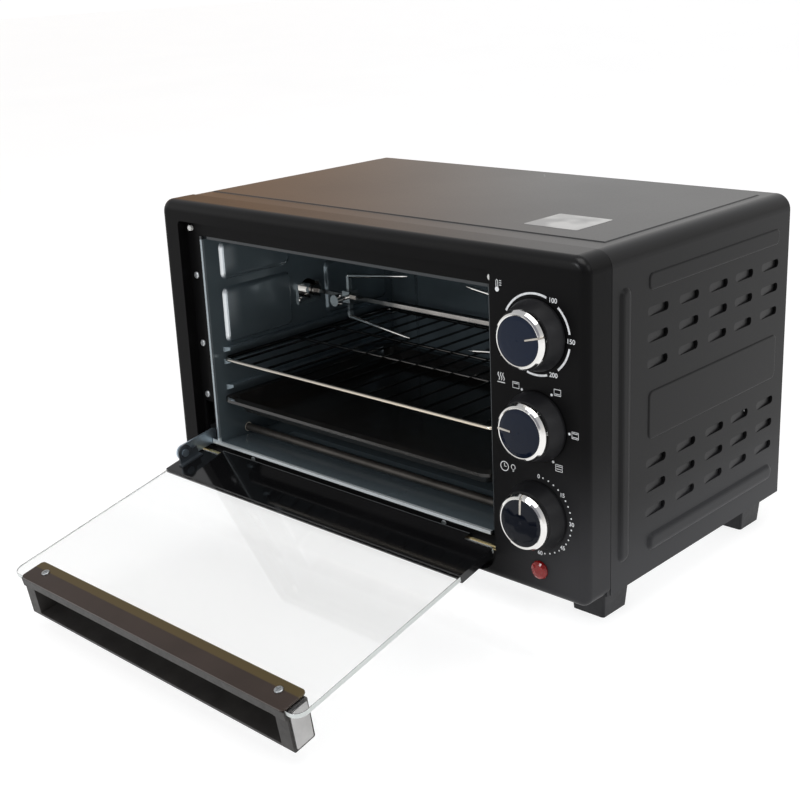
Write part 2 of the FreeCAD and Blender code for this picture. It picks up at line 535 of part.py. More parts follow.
feature("door_bumpers", Part.makeCompound(bumps))
bscr = []
for x, z in BACK_SCREWS:
    h = cyl(3.4, (x, y1 - t - 0.2, z), (0, 1, 0), 1.7)
    h = h.makeFillet(1.0, [e for e in h.Edges if e.BoundBox.YMin > y1 - t + 1.4])
    bscr.append(fuse(h, cyl(1.6, (x, y1 - 9.0, z), (0, 1, 0), 8.2)))

# hinge brackets behind the lower corners of the bezel
hb_r = fuse(bx(143.3, 145.3, 3.8, 26.0, 31.5, 66.0), bx(143.3, 152.0, 24.0, 26.0, 31.5, 66.0))
hb_r = cut(hb_r, cyl(D["pin_rad"] + 0.08, (130, hy, hz), (1, 0, 0), 30))
hb_l = fuse(bx(-203.6, -201.6, 3.8, 26.0, 31.5, 49.9), bx(-203.6, -201.6, 14.0, 26.0, 49.0, 66.0), bx(-211.0, -201.6, 24.0, 26.0, 31.5, 66.0))
hb_l = cut(hb_l, cyl(D["pin_rad"] + 0.08, (-220, hy, hz), (1, 0, 0), 30))
feature("hinge_brackets", Part.makeCompound([hb_l, hb_r]))

# ================================================================ rotisserie fixed parts
SY, SZ, SH = D["spit_back"], D["spit_up"], D["spit_half"]
sock = fuse(
    bx(CL + 0.3, CL + 1.6, SY - 13, SY + 13, SZ - 13, SZ + 6),
    cyl(2.5, (CL + 1.5, SY - 10, SZ - 9), (1, 0, 0), 1.5),
    cyl(2.5, (CL + 1.5, SY + 10, SZ - 9), (1, 0, 0), 1.5),
    cut(cyl(8.4, (CL - 1.4, SY, SZ), (1, 0, 0), 11.4), cyl(5.2, (CL - 20, SY, SZ), (1, 0, 0), 60), bx(CL - 20, CL + 30, SY - 5.2, SY + 5.2, SZ, SZ + 30)),
)
sock = cut(sock, cyl(5.2, (CL - 20, SY, SZ), (1, 0, 0), 60), bx(CL, CL + 30, SY - 5.2, SY + 5.2, SZ, SZ + 30))
feature("spit_support_left", sock)
motor = fuse(
    bx(CR + 1.1, CR + 2.3, SY - 30, SY + 30, SZ - 18, SZ + 18),
    cyl(24.0, (CR + 2.3, SY, SZ - 1.0), (1, 0, 0), 16.0),
    bx(CR + 2.3, CR + 18.3, SY - 8, SY + 8, SZ - 33, SZ - 20),
)
motor = cut(motor, cyl(9.0, (CR - 10, SY, SZ), (1, 0, 0), 12.3), cyl(4.06, (CR - 10, SY, SZ), (1, 0, 0), 24.0))
feature("spit_motor", motor)

# ================================================================ wiring entry
place = frame(cord_x, y1 - t - 1.25, cord_z, Rotation())
turned("cord_inlet_bush", [(4.0, -4.0), (9.6, -4.0), (9.6, -0.1), (7.1, -0.1), (7.1, 1.2), (9.8, 1.2), (9.8, 4.2), (6.6, 9.0), (4.0, 9.0)], place)
tb = fuse(bx(138, 178, y1 - 34, y1 - 16, D["case_bottom"] + 1.3, D["case_bottom"] + 17), bx(132, 184, y1 - 30, y1 - 20, D["case_bottom"] + 1.3, D["case_bottom"] + 4.3))
tb = cut(tb, *[cyl(2.6, (144 + i * 14, y1 - 25, D["case_bottom"] + 9), (0, 0, 1), 20) for i in range(3)])
feature("terminal_block", tb)
feature("back_screws", Part.makeCompound(bscr))

# ================================================================ rack and tray
RX0, RX1 = CL + 3.6, CR - 3.6
ru, rf, ra, rw, rr = D["rack_up"], D["rack_fore"], D["rack_aft"], D["rack_wire"], D["rack_rod"]


def rod(p, q, r):
    d = V(*q).sub(V(*p))
    return Part.makeCylinder(r, d.Length, V(*p), d)


def bent(points, r, bend):
    """Round wire along straight runs joined by arcs."""
    pts = [V(*p) for p in points]
    edges = []
    last = pts[0]
    for i in range(1, len(pts) - 1):
        a = pts[i - 1].sub(pts[i]).normalize()
        b = pts[i + 1].sub(pts[i]).normalize()
        half = a.getAngle(b) / 2
        tlen = bend / math.tan(half)
        pa, pb = pts[i].add(V(a).multiply(tlen)), pts[i].add(V(b).multiply(tlen))
        bis = a.add(b).normalize()
        c = pts[i].add(V(bis).multiply(bend / math.sin(half)))
        pm = c.sub(V(bis).multiply(bend))
        edges.append(Part.makeLine(last, pa))
        edges.append(Part.Arc(pa, pm, pb).toShape())
        last = pb
    edges.append(Part.makeLine(last, pts[-1]))
    path = Part.Wire(edges)
    d0 = pts[1].sub(pts[0]).normalize()
    prof = Part.Wire([Part.Circle(pts[0], d0, r).toShape()])
    return path.makePipeShell([prof], True, False)


zu = ru
frame_wire = bent([(-20, ra, zu), (RX0, ra, zu), (RX0, rf, zu), (RX1, rf, zu), (RX1, ra, zu), (-20.0, ra, zu)], rw, 7.0)
rods = []
nrod = 15
for i in range(nrod):
    x = RX0 + 14.5 + (RX1 - RX0 - 29.0) * i / (nrod - 1)
    rods.append(rod((x, rf, zu), (x, ra, zu), rr))
cross = [rod((RX0, y, zu), (RX1, y, zu), rw * 0.8) for y in (103.0, 147.0)]
stop = bent([(RX0 + 9, ra, zu), (RX0 + 9, ra, zu + 7.6), (RX1 - 9, ra, zu + 7.6), (RX1 - 9, ra, zu)], rw * 0.8, 3.0)
risers = [rod((RX0 + 14.5 + (RX1 - RX0 - 29.0) * i / (nrod - 1), ra, zu), (RX0 + 14.5 + (RX1 - RX0 - 29.0) * i / (nrod - 1), ra, zu + 7.6), rr) for i in range(nrod)]
rack = frame_wire.fuse(rods + cross + [stop] + risers).removeSplitter()
feature("wire_rack", rack)

TX0, TX1 = CL + 2.8, CR - 2.8
tu, td, tf, ta = D["tray_up"], D["tray_deep"], D["tray_fore"], D["tray_aft"]


def rr_wire(x0, x1, ya, yb, r, z):
    b = Part.makeBox(x1 - x0, yb - ya, 1, V(x0, ya, z))
    f = b.makeFillet(r, [e for e in b.Edges if abs(e.Vertexes[0].Z - e.Vertexes[1].Z) > 0.5])
    for face in f.Faces:
        if abs(face.CenterOfMass.z - z) < 1e-6 and face.normalAt(0, 0).z < -0.5:
            return face.OuterWire
    raise RuntimeError("no face")


pan_out = loft([rr_wire(TX0 + 6.5, TX1 - 6.5, tf + 6.5, ta - 6.5, 9.0, tu), rr_wire(TX0 + 13.0, TX1 - 13.0, tf + 13.0, ta - 13.0, 7.0, tu - td)])
pan_in = loft([rr_wire(TX0 + 7.5, TX1 - 7.5, tf + 7.5, ta - 7.5, 8.2, tu + 0.001), rr_wire(TX0 + 13.6, TX1 - 13.6, tf + 13.6, ta - 13.6, 6.4, tu - td + 0.9)])
rim_w = rr_wire(TX0, TX1, tf, ta, 12.0, tu - 0.9)
rim = Part.Face(rim_w).extrude(V(0, 0, 0.9))
rim = cut(rim, loft([rr_wire(TX0 + 7.0, TX1 - 7.0, tf + 7.0, ta - 7.0, 8.6, tu - 2), rr_wire(TX0 + 7.0, TX1 - 7.0, tf + 7.0, ta - 7.0, 8.6, tu + 2)]))
hem_o = Part.Face(rr_wire(TX0, TX1, tf, ta, 12.0, tu - 2.6)).extrude(V(0, 0, 2.6))
hem_i = Part.Face(rr_wire(TX0 + 0.9, TX1 - 0.9, tf + 0.9, ta - 0.9, 11.1, tu - 3)).extrude(V(0, 0, 5))
tray = cut(pan_out, pan_in).fuse([rim, cut(hem_o, hem_i)]).removeSplitter()
feature("baking_tray", tray)

# ================================================================ rotisserie spit (turns as one)
coupler = fuse(
    cyl(4.0, (CR - 9.5, SY, SZ), (1, 0, 0), 23.0),
    cyl(7.2, (CR - 9.5, SY, SZ), (1, 0, 0), 8.7),
)
sq = bx(CR - 30, CR - 0.5, SY - SH - 0.05, SY + SH + 0.05, SZ - SH - 0.05, SZ + SH + 0.05)
def turned_spit(shape):
    """The spit rests at the angle it was last left at."""
    q = shape.copy()
    q.rotate(V(0, SY, SZ), V(1, 0, 0), D["spit_angle"])
    return q


feature("spit_drive_socket", turned_spit(cut(coupler, sq)))
sr = fuse(
    bx(CL + 12.5, CR - 0.8, SY - SH, SY + SH, SZ - SH, SZ + SH),
    cyl(3.4, (CL + 1.0, SY, SZ), (1, 0, 0), 11.6),
    cyl(4.9, (CL + 0.2, SY, SZ), (1, 0, 0), 1.6),
    cyl(4.9, (CL + 10.8, SY, SZ), (1, 0, 0), 2.0),
)
feature("spit_rod", turned_spit(sr))


def fork(x, s):
    block = bx(min(x, x + s * 9), max(x, x + s * 9), SY - 5.5, SY + 5.5, SZ - 6, SZ + 6)
    parts = [block.makeFillet(1.2, [e for e in block.Edges if e.BoundBox.XLength > 5])]
    parts.append(bx(min(x + s * 2.4, x + s * 5.2), max(x + s * 2.4, x + s * 5.2), SY - 2.0, SY + 2.0, SZ - 18.8, SZ + 18.8))
    for k in (-1, 1):
        d = V(s, 0, k * 0.12)
        parts.append(Part.makeSphere(2.15, V(x + s * 3.8, SY, SZ + k * 18.6)))
        parts.append(Part.makeCone(2.1, 1.5, 66, V(x + s * 3.8, SY, SZ + k * 18.6), d))
        tip = V(x + s * 3.8, SY, SZ + k * 18.6).add(V(d).normalize().multiply(65.9))
        parts.append(Part.makeCone(1.5, 0.5, 6, tip, d))
    f = fuse(*parts)
    return cut(f, bx(x - 50, x + 50, SY - SH - 0.02, SY + SH + 0.02, SZ - SH - 0.02, SZ + SH + 0.02), cyl(2.0, (x + s * 4.5, SY - 20, SZ), (0, 1, 0), 20))


def thumb(x, s):
    c = fuse(cyl(1.95, (x + s * 4.5, SY - 15.0, SZ), (0, 1, 0), 12.3), cyl(5.0, (x + s * 4.5, SY - 20.0, SZ), (0, 1, 0), 6.0))
    return c


FX = (-129.0, 87.0)
feature("spit_forks", turned_spit(Part.makeCompound([fork(FX[0], 1), fork(FX[1], -1)])))
feature("spit_thumbscrews", turned_spit(Part.makeCompound([thumb(FX[0], 1), thumb(FX[1], -1)])))

# ================================================================ door (drawn closed, hinge axis at y = z = 0)
DP = door_place()
GL, GR = D["glass_left"], D["glass_right"]
gi, gt = D["glass_in"], D["glass_thick"]
gy0 = gi - gt
g = rrect(GL, GR, 3.0, D["glass_free"], 9.0, gy0, gt, 3.0)
g = g.makeFillet(0.6, [e for e in g.Edges if e.BoundBox.YLength < 0.01])
holes = [cyl(2.3, (x, -30, D["handle_back"] + 8.0), (0, 1, 0), 60) for x in (D["handle_left"] + 17.0, D["handle_right"] - 17.0)]
feature("door_glass", cut(g, *holes), DP)

# lower rail: a glossy black channel that grips the lower edge of the glass
rt = D["rail_top"]
ch = bx(GL - 0.6, GR + 0.3, gy0 - 1.8, gi + 0.9, -4.0, rt)
ch = ch.makeFillet(0.7, [e for e in ch.Edges if e.BoundBox.XLength > 100 and abs(e.BoundBox.ZMin - rt) < 0.01])
ch = ch.makeFillet(3.0, [e for e in ch.Edges if e.BoundBox.XLength > 100 and e.BoundBox.ZMax < -3.9])
gslot = bx(GL - 0.05, GR + 0.05, gy0 - 0.02, gi + 0.02, 2.95, rt + 5)
ch = cut(ch, gslot)
# end notches that show the hinge pins
ch = cut(ch, bx(GL - 5, -169.5, -10, 10, -10, 6.4), bx(112.6, GR + 5, -10, 10, -10, 6.4))
ch = cut(ch, cyl(D["pin_rad"], (-175, 0, 0), (1, 0, 0), 16), cyl(D["pin_rad"], (102, 0, 0), (1, 0, 0), 16))
feature("door_bottom_rail", ch, DP)
def pin(x0, d):
    body = cyl(D["pin_rad"], (x0, 0, 0), (d, 0, 0), 40.0)
    return body.makeChamfer(0.5, [e for e in body.Edges if abs(e.BoundBox.XMin - (x0 + d * 40.0)) < 0.01 and e.BoundBox.XLength < 0.01])


feature("hinge_pins", Part.makeCompound([pin(-164.0, -1), pin(106.0, 1)]), DP)

# bracket for the stay link, with its rivet, at the left end of the rail
ex0, ex1 = -188.4, -186.9
rs, rn = 25.0, 12.8
ear = fuse(
    bx(ex0, ex1, gi + 0.9, rn, rs - 13, rs + 7),
    cyl(7.0, (ex0, rn, rs), (1, 0, 0), ex1 - ex0),
    bx(ex0, ex1 + 4.0, gi + 0.9, gi + 2.2, rs - 14, rs + 9),
)
ear = cut(ear, cyl(2.1, (ex0 - 5, rn, rs), (1, 0, 0), 20))
feature("door_link_bracket", ear, DP)
rv = fuse(cyl(2.05, (-191.2, rn, rs), (1, 0, 0), 5.3), cyl(3.6, (-192.6, rn, rs), (1, 0, 0), 1.6), cyl(3.4, (-186.85, rn, rs), (1, 0, 0), 0.9))
feature("door_link_rivet", rv, DP)

# handle: hollow bar with a finger pocket, two end plates, an inner clamp plate and its screws
HL, HR = D["handle_left"], D["handle_right"]
hb, hf, hd = D["handle_back"], D["handle_front"], D["handle_deep"]
top_y = gy0 - 0.05
bar = loft([
    Part.makePolygon([V(HL, top_y, hb), V(HR, top_y, hb), V(HR, top_y, hf - 2.2), V(HL, top_y, hf - 2.2), V(HL, top_y, hb)]),
    Part.makePolygon([V(HL, top_y - hd, hb + 2.5), V(HR, top_y - hd, hb + 2.5), V(HR, top_y - hd, hf), V(HL, top_y - hd, hf), V(HL, top_y - hd, hb + 2.5)]),
])
bar = bar.makeFillet(1.6, [e for e in bar.Edges if e.BoundBox.XLength > 100])
pocket = loft([
    Part.makePolygon([V(HL + 14, top_y - 3.6, hb + 3.6), V(HR - 14, top_y - 3.6, hb + 3.6), V(HR - 14, top_y - hd + 4.2, hb + 5.0), V(HL + 14, top_y - hd + 4.2, hb + 5.0), V(HL + 14, top_y - 3.6, hb + 3.6)]),
    Part.makePolygon([V(HL + 11, top_y - 2.5, hf + 5), V(HR - 11, top_y - 2.5, hf + 5), V(HR - 11, top_y - hd + 3.0, hf + 5), V(HL + 11, top_y - hd + 3.0, hf + 5), V(HL + 11, top_y - 2.5, hf + 5)]),
])
bar = fuse(bar, bx(HL, HR, top_y - 3.3, top_y - 0.2, hf - 8.0, D["glass_free"] + 1.8), bx(HL, HR, top_y - 1.0, gi - 0.25, D["glass_free"] + 0.3, D["glass_free"] + 1.8))
bar = cut(bar, pocket)
bores = []
for x in (HL + 17.0, HR - 17.0):
    bores.append(cyl(1.6, (x, top_y - 20, hb + 8.0), (0, 1, 0), 30))
for x in (HL + 45, -30.0, -16.0, HR - 45):
    bores.append(cyl(1.7, (x, top_y - 15, hb - 5), (0, 0, 1), 12))
bar = cut(bar, *bores)
feature("handle_bar", bar, DP)
ends = []
for x in (HL - 1.25, HR + 0.05):
    outline_y = [(top_y - 2.0, hb + 1.8), (top_y - 2.0, hf - 4.2), (top_y - hd + 2.2, hf - 2.2), (top_y - hd + 2.2, hb + 4.4)]
    e = prism([(x, a, b) for a, b in outline_y], (1.2, 0, 0))
    ends.append(e.makeFillet(1.2, [k for k in e.Edges if k.BoundBox.XLength > 1.0]))
feature("handle_end_plates", Part.makeCompound(ends), DP)
hp = bx(HL, HR, gi + 0.05, gi + 1.55, hb - 1.2, D["glass_free"] + 1.8)
hp = hp.makeFillet(3.5, [e for e in hp.Edges if e.BoundBox.YLength > 1.0 and e.BoundBox.XLength < 0.01 and e.BoundBox.ZLength < 0.01])
hp = hp.makeFillet(0.5, [e for e in hp.Edges if e.BoundBox.YMin > gi + 1.5])
hp = cut(hp, *[cyl(1.9, (x, gi - 2, hb + 8.0), (0, 1, 0), 6) for x in (HL + 17.0, HR - 17.0)])
feature("handle_inner_plate", hp, DP)
hs = []
for x in (HL + 17.0, HR - 17.0):
    h = cyl(3.3, (x, gi + 1.6, hb + 8.0), (0, 1, 0), 1.15)
    h = h.makeFillet(0.7, [e for e in h.Edges if e.BoundBox.YMin > gi + 2.7])
    h = cut(h, bx(x - 2.1, x + 2.1, gi + 2.1, gi + 4, hb + 7.6, hb + 8.4), bx(x - 0.4, x + 0.4, gi + 2.1, gi + 4, hb + 5.9, hb + 10.1))
    hs.append(fuse(h, cyl(1.55, (x, gi - 18.0, hb + 8.0), (0, 1, 0), 19.7)))
feature("handle_screws", Part.makeCompound(hs), DP)

# ================================================================ stay link and its spring
ang = math.radians(D["door_open_deg"])
sdir = (-math.sin(ang), math.cos(ang))
ndir = (math.cos(ang), math.sin(ang))
PY = D["hinge_out"] + rs * sdir[0] + rn * ndir[0]
PZ = D["hinge_up"] + rs * sdir[1] + rn * ndir[1]
tilt = 9.5
L = 92.0
lx0, lx1 = -190.9, -189.4
arm = fuse(
    bx(lx0, lx1, 0, 34, -6.6, 6.6),
    cyl(6.6, (lx0, 0, 0), (1, 0, 0), lx1 - lx0),
    prism([(lx0, 33.9, -6.6), (lx0, 46, -3.6), (lx0, L, -3.6), (lx0, L, 3.6), (lx0, 46, 3.6), (lx0, 33.9, 6.6)], (lx1 - lx0, 0, 0)),
    cyl(3.6, (lx0, L, 0), (1, 0, 0), lx1 - lx0),
)
arm = cut(arm, cyl(2.12, (lx0 - 5, 0, 0), (1, 0, 0), 20), cyl(1.5, (lx0 - 5, L, 0), (1, 0, 0), 20))
feature("door_stay_link", arm, Placement(V(0, PY - SET, PZ), Rotation(V(1, 0, 0), tilt)))

ey = PY + L * math.cos(math.radians(tilt))
ez = PZ + L * math.sin(math.radians(tilt))
xm = (lx0 + lx1) / 2
turns, pitch_, cr, wr_ = 20, 2.6, 4.0, 0.6
ridge = [V(xm, ey + 14, ez), V(xm, ey + 14, ez + cr - wr_)]
for i in range(turns):
    y_ = ey + 14 + pitch_ * i
    ridge += [V(xm, y_ + pitch_ * 0.3, ez + cr + wr_), V(xm, y_ + pitch_ * 0.7, ez + cr + wr_), V(xm, y_ + pitch_, ez + cr - wr_)]
ridge.append(V(xm, ey + 14 + pitch_ * turns, ez))
coil = Part.Face(Part.makePolygon(ridge + ridge[:1])).revolve(V(xm, ey, ez), V(0, 1, 0), 360)
h1 = rod((xm, ey + 4.0, ez), (xm, ey + 14.6, ez), wr_)
yend = ey + 14 + pitch_ * turns
h2 = rod((xm, yend - 0.5, ez), (xm, yend + 12, ez), wr_)
spring = coil.fuse([h1, h2]).removeSplitter()
feature("door_stay_spring", spring)
lug = fuse(bx(CL - 2.4, CL - 1.05, yend + 4, yend + 24, ez - 9, ez + 9), bx(CL - 12.0, CL - 1.05, yend + 12.7, yend + 14.0, ez - 5, ez + 5))
feature("spring_lug", lug)

# ---------------------------------------------------------------- check and write
doc.recompute()
bad = []
for o in doc.Objects:
    if any(s in ("Invalid", "Error") for s in o.State):
        bad.append("%s state %s" % (o.Label, o.State))
for o in NODES:
    s = o.Shape
    if s.isNull() or not s.isValid():
        bad.append("%s shape null or not valid" % o.Label)
    elif not s.Solids:
        bad.append("%s has no solid" % o.Label)
    elif min(x.Volume for x in s.Solids) <= 0.05:
        bad.append("%s has a solid with no volume" % o.Label)
if bad:
    raise RuntimeError("; ".join(bad))
labels = [o.Label for o in NODES]
if len(set(labels)) != len(labels) or len(labels) > 60:
    raise RuntimeError("labels: %d" % len(labels))
os.makedirs("parts", exist_ok=True)
for o in NODES:
    o.Shape.exportStep("parts/%s.step" % o.Label)
    print("%-26s solids %d  volume %9.1f mm3" % (o.Label, len(o.Shape.Solids), o.Shape.Volume))
print("nodes", len(NODES))
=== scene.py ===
import json
import math
import random
import bpy
import bmesh
from mathutils import Matrix, Vector


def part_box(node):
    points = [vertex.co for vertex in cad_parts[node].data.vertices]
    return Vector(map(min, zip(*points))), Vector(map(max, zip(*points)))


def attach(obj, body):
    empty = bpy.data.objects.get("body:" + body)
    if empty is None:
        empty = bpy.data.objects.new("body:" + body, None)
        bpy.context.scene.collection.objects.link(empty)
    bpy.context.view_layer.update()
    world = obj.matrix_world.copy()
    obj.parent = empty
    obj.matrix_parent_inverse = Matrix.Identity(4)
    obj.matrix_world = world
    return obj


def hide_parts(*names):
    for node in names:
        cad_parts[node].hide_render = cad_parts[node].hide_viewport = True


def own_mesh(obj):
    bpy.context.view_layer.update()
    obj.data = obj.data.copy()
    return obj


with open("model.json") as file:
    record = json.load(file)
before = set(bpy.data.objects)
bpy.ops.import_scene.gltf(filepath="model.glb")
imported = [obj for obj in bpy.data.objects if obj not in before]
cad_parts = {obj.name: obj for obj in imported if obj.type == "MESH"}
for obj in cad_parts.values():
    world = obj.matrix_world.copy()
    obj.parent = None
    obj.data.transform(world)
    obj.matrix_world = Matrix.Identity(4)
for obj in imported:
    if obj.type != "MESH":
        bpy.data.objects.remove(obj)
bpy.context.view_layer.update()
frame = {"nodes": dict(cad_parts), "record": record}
NODES = frame["nodes"]
RECORD = frame["record"]
scene = bpy.context.scene
MM = 0.001
SETBACK = 149.5          # the row's origin lies this far behind the bezel's front face


def P(x, y, z):
    """A point in the drawing frame (mm, y = 0 on the bezel's front face) as metres in the row frame."""
    return Vector((x * MM, (y - SETBACK) * MM, z * MM))


# ------------------------------------------------------------------ node helpers
class Tree:
    def __init__(self, name):
        self.mat = bpy.data.materials.new(name)
        self.mat.use_nodes = True
        self.t = self.mat.node_tree
        self.t.nodes.clear()
        self.out = self.t.nodes.new("ShaderNodeOutputMaterial")
        self.b = self.t.nodes.new("ShaderNodeBsdfPrincipled")
        self.t.links.new(self.b.outputs["BSDF"], self.out.inputs["Surface"])
        self.co = self.t.nodes.new("ShaderNodeTexCoord").outputs["Object"]

    def link(self, a, b):
        self.t.links.new(a, b)

    def set(self, **kw):
        names = {"color": "Base Color", "rough": "Roughness", "metal": "Metallic", "spec": "Specular IOR Level", "ior": "IOR",
                 "coat": "Coat Weight", "coat_rough": "Coat Roughness", "trans": "Transmission Weight", "alpha": "Alpha",
                 "aniso": "Anisotropic", "sheen": "Sheen Weight", "sss": "Subsurface Weight", "emit": "Emission Strength", "emit_color": "Emission Color"}
        for k, v in kw.items():
            s = self.b.inputs[names[k]]
            if k in ("color", "emit_color"):
                s.default_value = (v[0], v[1], v[2], 1)
            else:
                s.default_value = v
        return self

    def noise(self, scale, detail=3.0, rough=0.5, stretch=None, dist=0.0):
        n = self.t.nodes.new("ShaderNodeTexNoise")
        n.inputs["Scale"].default_value = scale
        n.inputs["Detail"].default_value = detail
        n.inputs["Roughness"].default_value = rough
        n.inputs["Distortion"].default_value = dist
        if stretch:
            m = self.t.nodes.new("ShaderNodeMapping")
            m.inputs["Scale"].default_value = stretch
            self.link(self.co, m.inputs["Vector"])
            self.link(m.outputs["Vector"], n.inputs["Vector"])
        else:
            self.link(self.co, n.inputs["Vector"])
        return n.outputs["Fac"]

    def voronoi(self, scale, stretch=None):
        n = self.t.nodes.new("ShaderNodeTexVoronoi")
        n.inputs["Scale"].default_value = scale
        if stretch:
            m = self.t.nodes.new("ShaderNodeMapping")
            m.inputs["Scale"].default_value = stretch
            self.link(self.co, m.inputs["Vector"])
            self.link(m.outputs["Vector"], n.inputs["Vector"])
        else:
            self.link(self.co, n.inputs["Vector"])
        return n

    def remap(self, src, a, b, lo, hi, smooth=False):
        m = self.t.nodes.new("ShaderNodeMapRange")
        m.inputs["From Min"].default_value = a
        m.inputs["From Max"].default_value = b
        m.inputs["To Min"].default_value = lo
        m.inputs["To Max"].default_value = hi
        if smooth:
            m.interpolation_type = "SMOOTHSTEP"
        self.link(src, m.inputs["Value"])
        return m.outputs["Result"]

    def math(self, op, a, b=None):
        m = self.t.nodes.new("ShaderNodeMath")
        m.operation = op
        for i, v in enumerate((a, b)):
            if v is None:
                continue
            if isinstance(v, (int, float)):
                m.inputs[i].default_value = v
            else:
                self.link(v, m.inputs[i])
        return m.outputs[0]

    def mix(self, fac, a, b):
        m = self.t.nodes.new("ShaderNodeMix")
        m.data_type = "RGBA"
        if isinstance(fac, (int, float)):
            m.inputs["Factor"].default_value = fac
        else:
            self.link(fac, m.inputs["Factor"])
        for key, v in (("A", a), ("B", b)):
            s = [i for i in m.inputs if i.name == key and i.type == "RGBA"][0]
            if isinstance(v, tuple):
                s.default_value = (v[0], v[1], v[2], 1)
            else:
                self.link(v, s)
        return [o for o in m.outputs if o.type == "RGBA"][0]

    def axis(self, which):
        s = self.t.nodes.new("ShaderNodeSeparateXYZ")
        self.link(self.co, s.inputs[0])
        return s.outputs[which]

    def facing(self, direction):
        """How far the surface looks along a fixed direction of the part's own frame, 0 to 1 either way."""
        d = self.t.nodes.new("ShaderNodeVectorMath")
        d.operation = "DOT_PRODUCT"
        self.link(self.t.nodes.new("ShaderNodeTexCoord").outputs["Normal"], d.inputs[0])
        d.inputs[1].default_value = direction
        return self.math("ABSOLUTE", d.outputs["Value"])

    def bump(self, height, strength, distance):
        n = self.t.nodes.new("ShaderNodeBump")
        n.inputs["Strength"].default_value = strength
        n.inputs["Distance"].default_value = distance
        self.link(height, n.inputs["Height"])
        last = self.b.inputs["Normal"]
        if last.is_linked:
            self.link(last.links[0].from_socket, n.inputs["Normal"])
            self.t.links.remove(last.links[0])
        self.link(n.outputs["Normal"], last)
        return self


def enamel(name, lo, hi, rough, spec, peel=1.0):
    """Baked satin enamel: faint orange peel, cloudy gloss, a little dust."""
    m = Tree(name).set(metal=0.0, spec=spec)
    cloud = m.noise(9.0, 4, 0.55)
    fine = m.noise(900.0, 2, 0.5)
    m.link(m.mix(m.remap(cloud, 0.3, 0.7, 0, 1), lo, hi), m.b.inputs["Base Color"])
    r = m.math("ADD", m.remap(cloud, 0.3, 0.7, rough - 0.03, rough + 0.04), m.remap(fine, 0.3, 0.7, -0.02, 0.02))
    m.link(r, m.b.inputs["Roughness"])
    m.bump(m.noise(420.0, 2, 0.5), 0.10 * peel, 0.0002)
    m.bump(m.noise(1500.0, 1, 0.5), 0.05 * peel, 0.0001)
    return m.mat


def moulded(name, col, rough, spec=0.5, grain=1.0, coat=0.0):
    """Moulded heat-resistant plastic with a fine spark-eroded grain."""
    m = Tree(name).set(metal=0.0, spec=spec, coat=coat, coat_rough=0.08)
    a = m.noise(60.0, 4, 0.6)
    hi = tuple(min(1, c * 1.5 + 0.002) for c in col)
    m.link(m.mix(m.remap(a, 0.3, 0.7, 0, 1), col, hi), m.b.inputs["Base Color"])
    m.link(m.remap(m.noise(250.0, 3, 0.6), 0.3, 0.7, rough - 0.05, rough + 0.06), m.b.inputs["Roughness"])
    m.bump(m.voronoi(2600.0).outputs["Distance"], 0.12 * grain, 0.00008)
    return m.mat


def metal(name, lo, hi, rough, brushed=None, scratches=0.3, metallic=1.0):
    """Bare or plated metal: tone drift, fine drawing lines or handling marks."""
    m = Tree(name).set(metal=metallic)
    drift = m.noise(30.0, 4, 0.6)
    m.link(m.mix(m.remap(drift, 0.3, 0.7, 0, 1), lo, hi), m.b.inputs["Base Color"])
    if brushed:
        lines = m.noise(60.0, 4, 0.6, brushed)
        m.link(m.math("ADD", m.remap(lines, 0.3, 0.7, rough - 0.05, rough + 0.08), m.remap(drift, 0.3, 0.7, -0.03, 0.03)), m.b.inputs["Roughness"])
        m.bump(lines, 0.10 * scratches, 0.0002)
    else:
        m.link(m.remap(m.noise(120.0, 4, 0.65), 0.3, 0.7, rough - 0.03, rough + 0.06), m.b.inputs["Roughness"])
        m.bump(m.noise(500.0, 2, 0.5), 0.06 * scratches, 0.0001)
    return m.mat


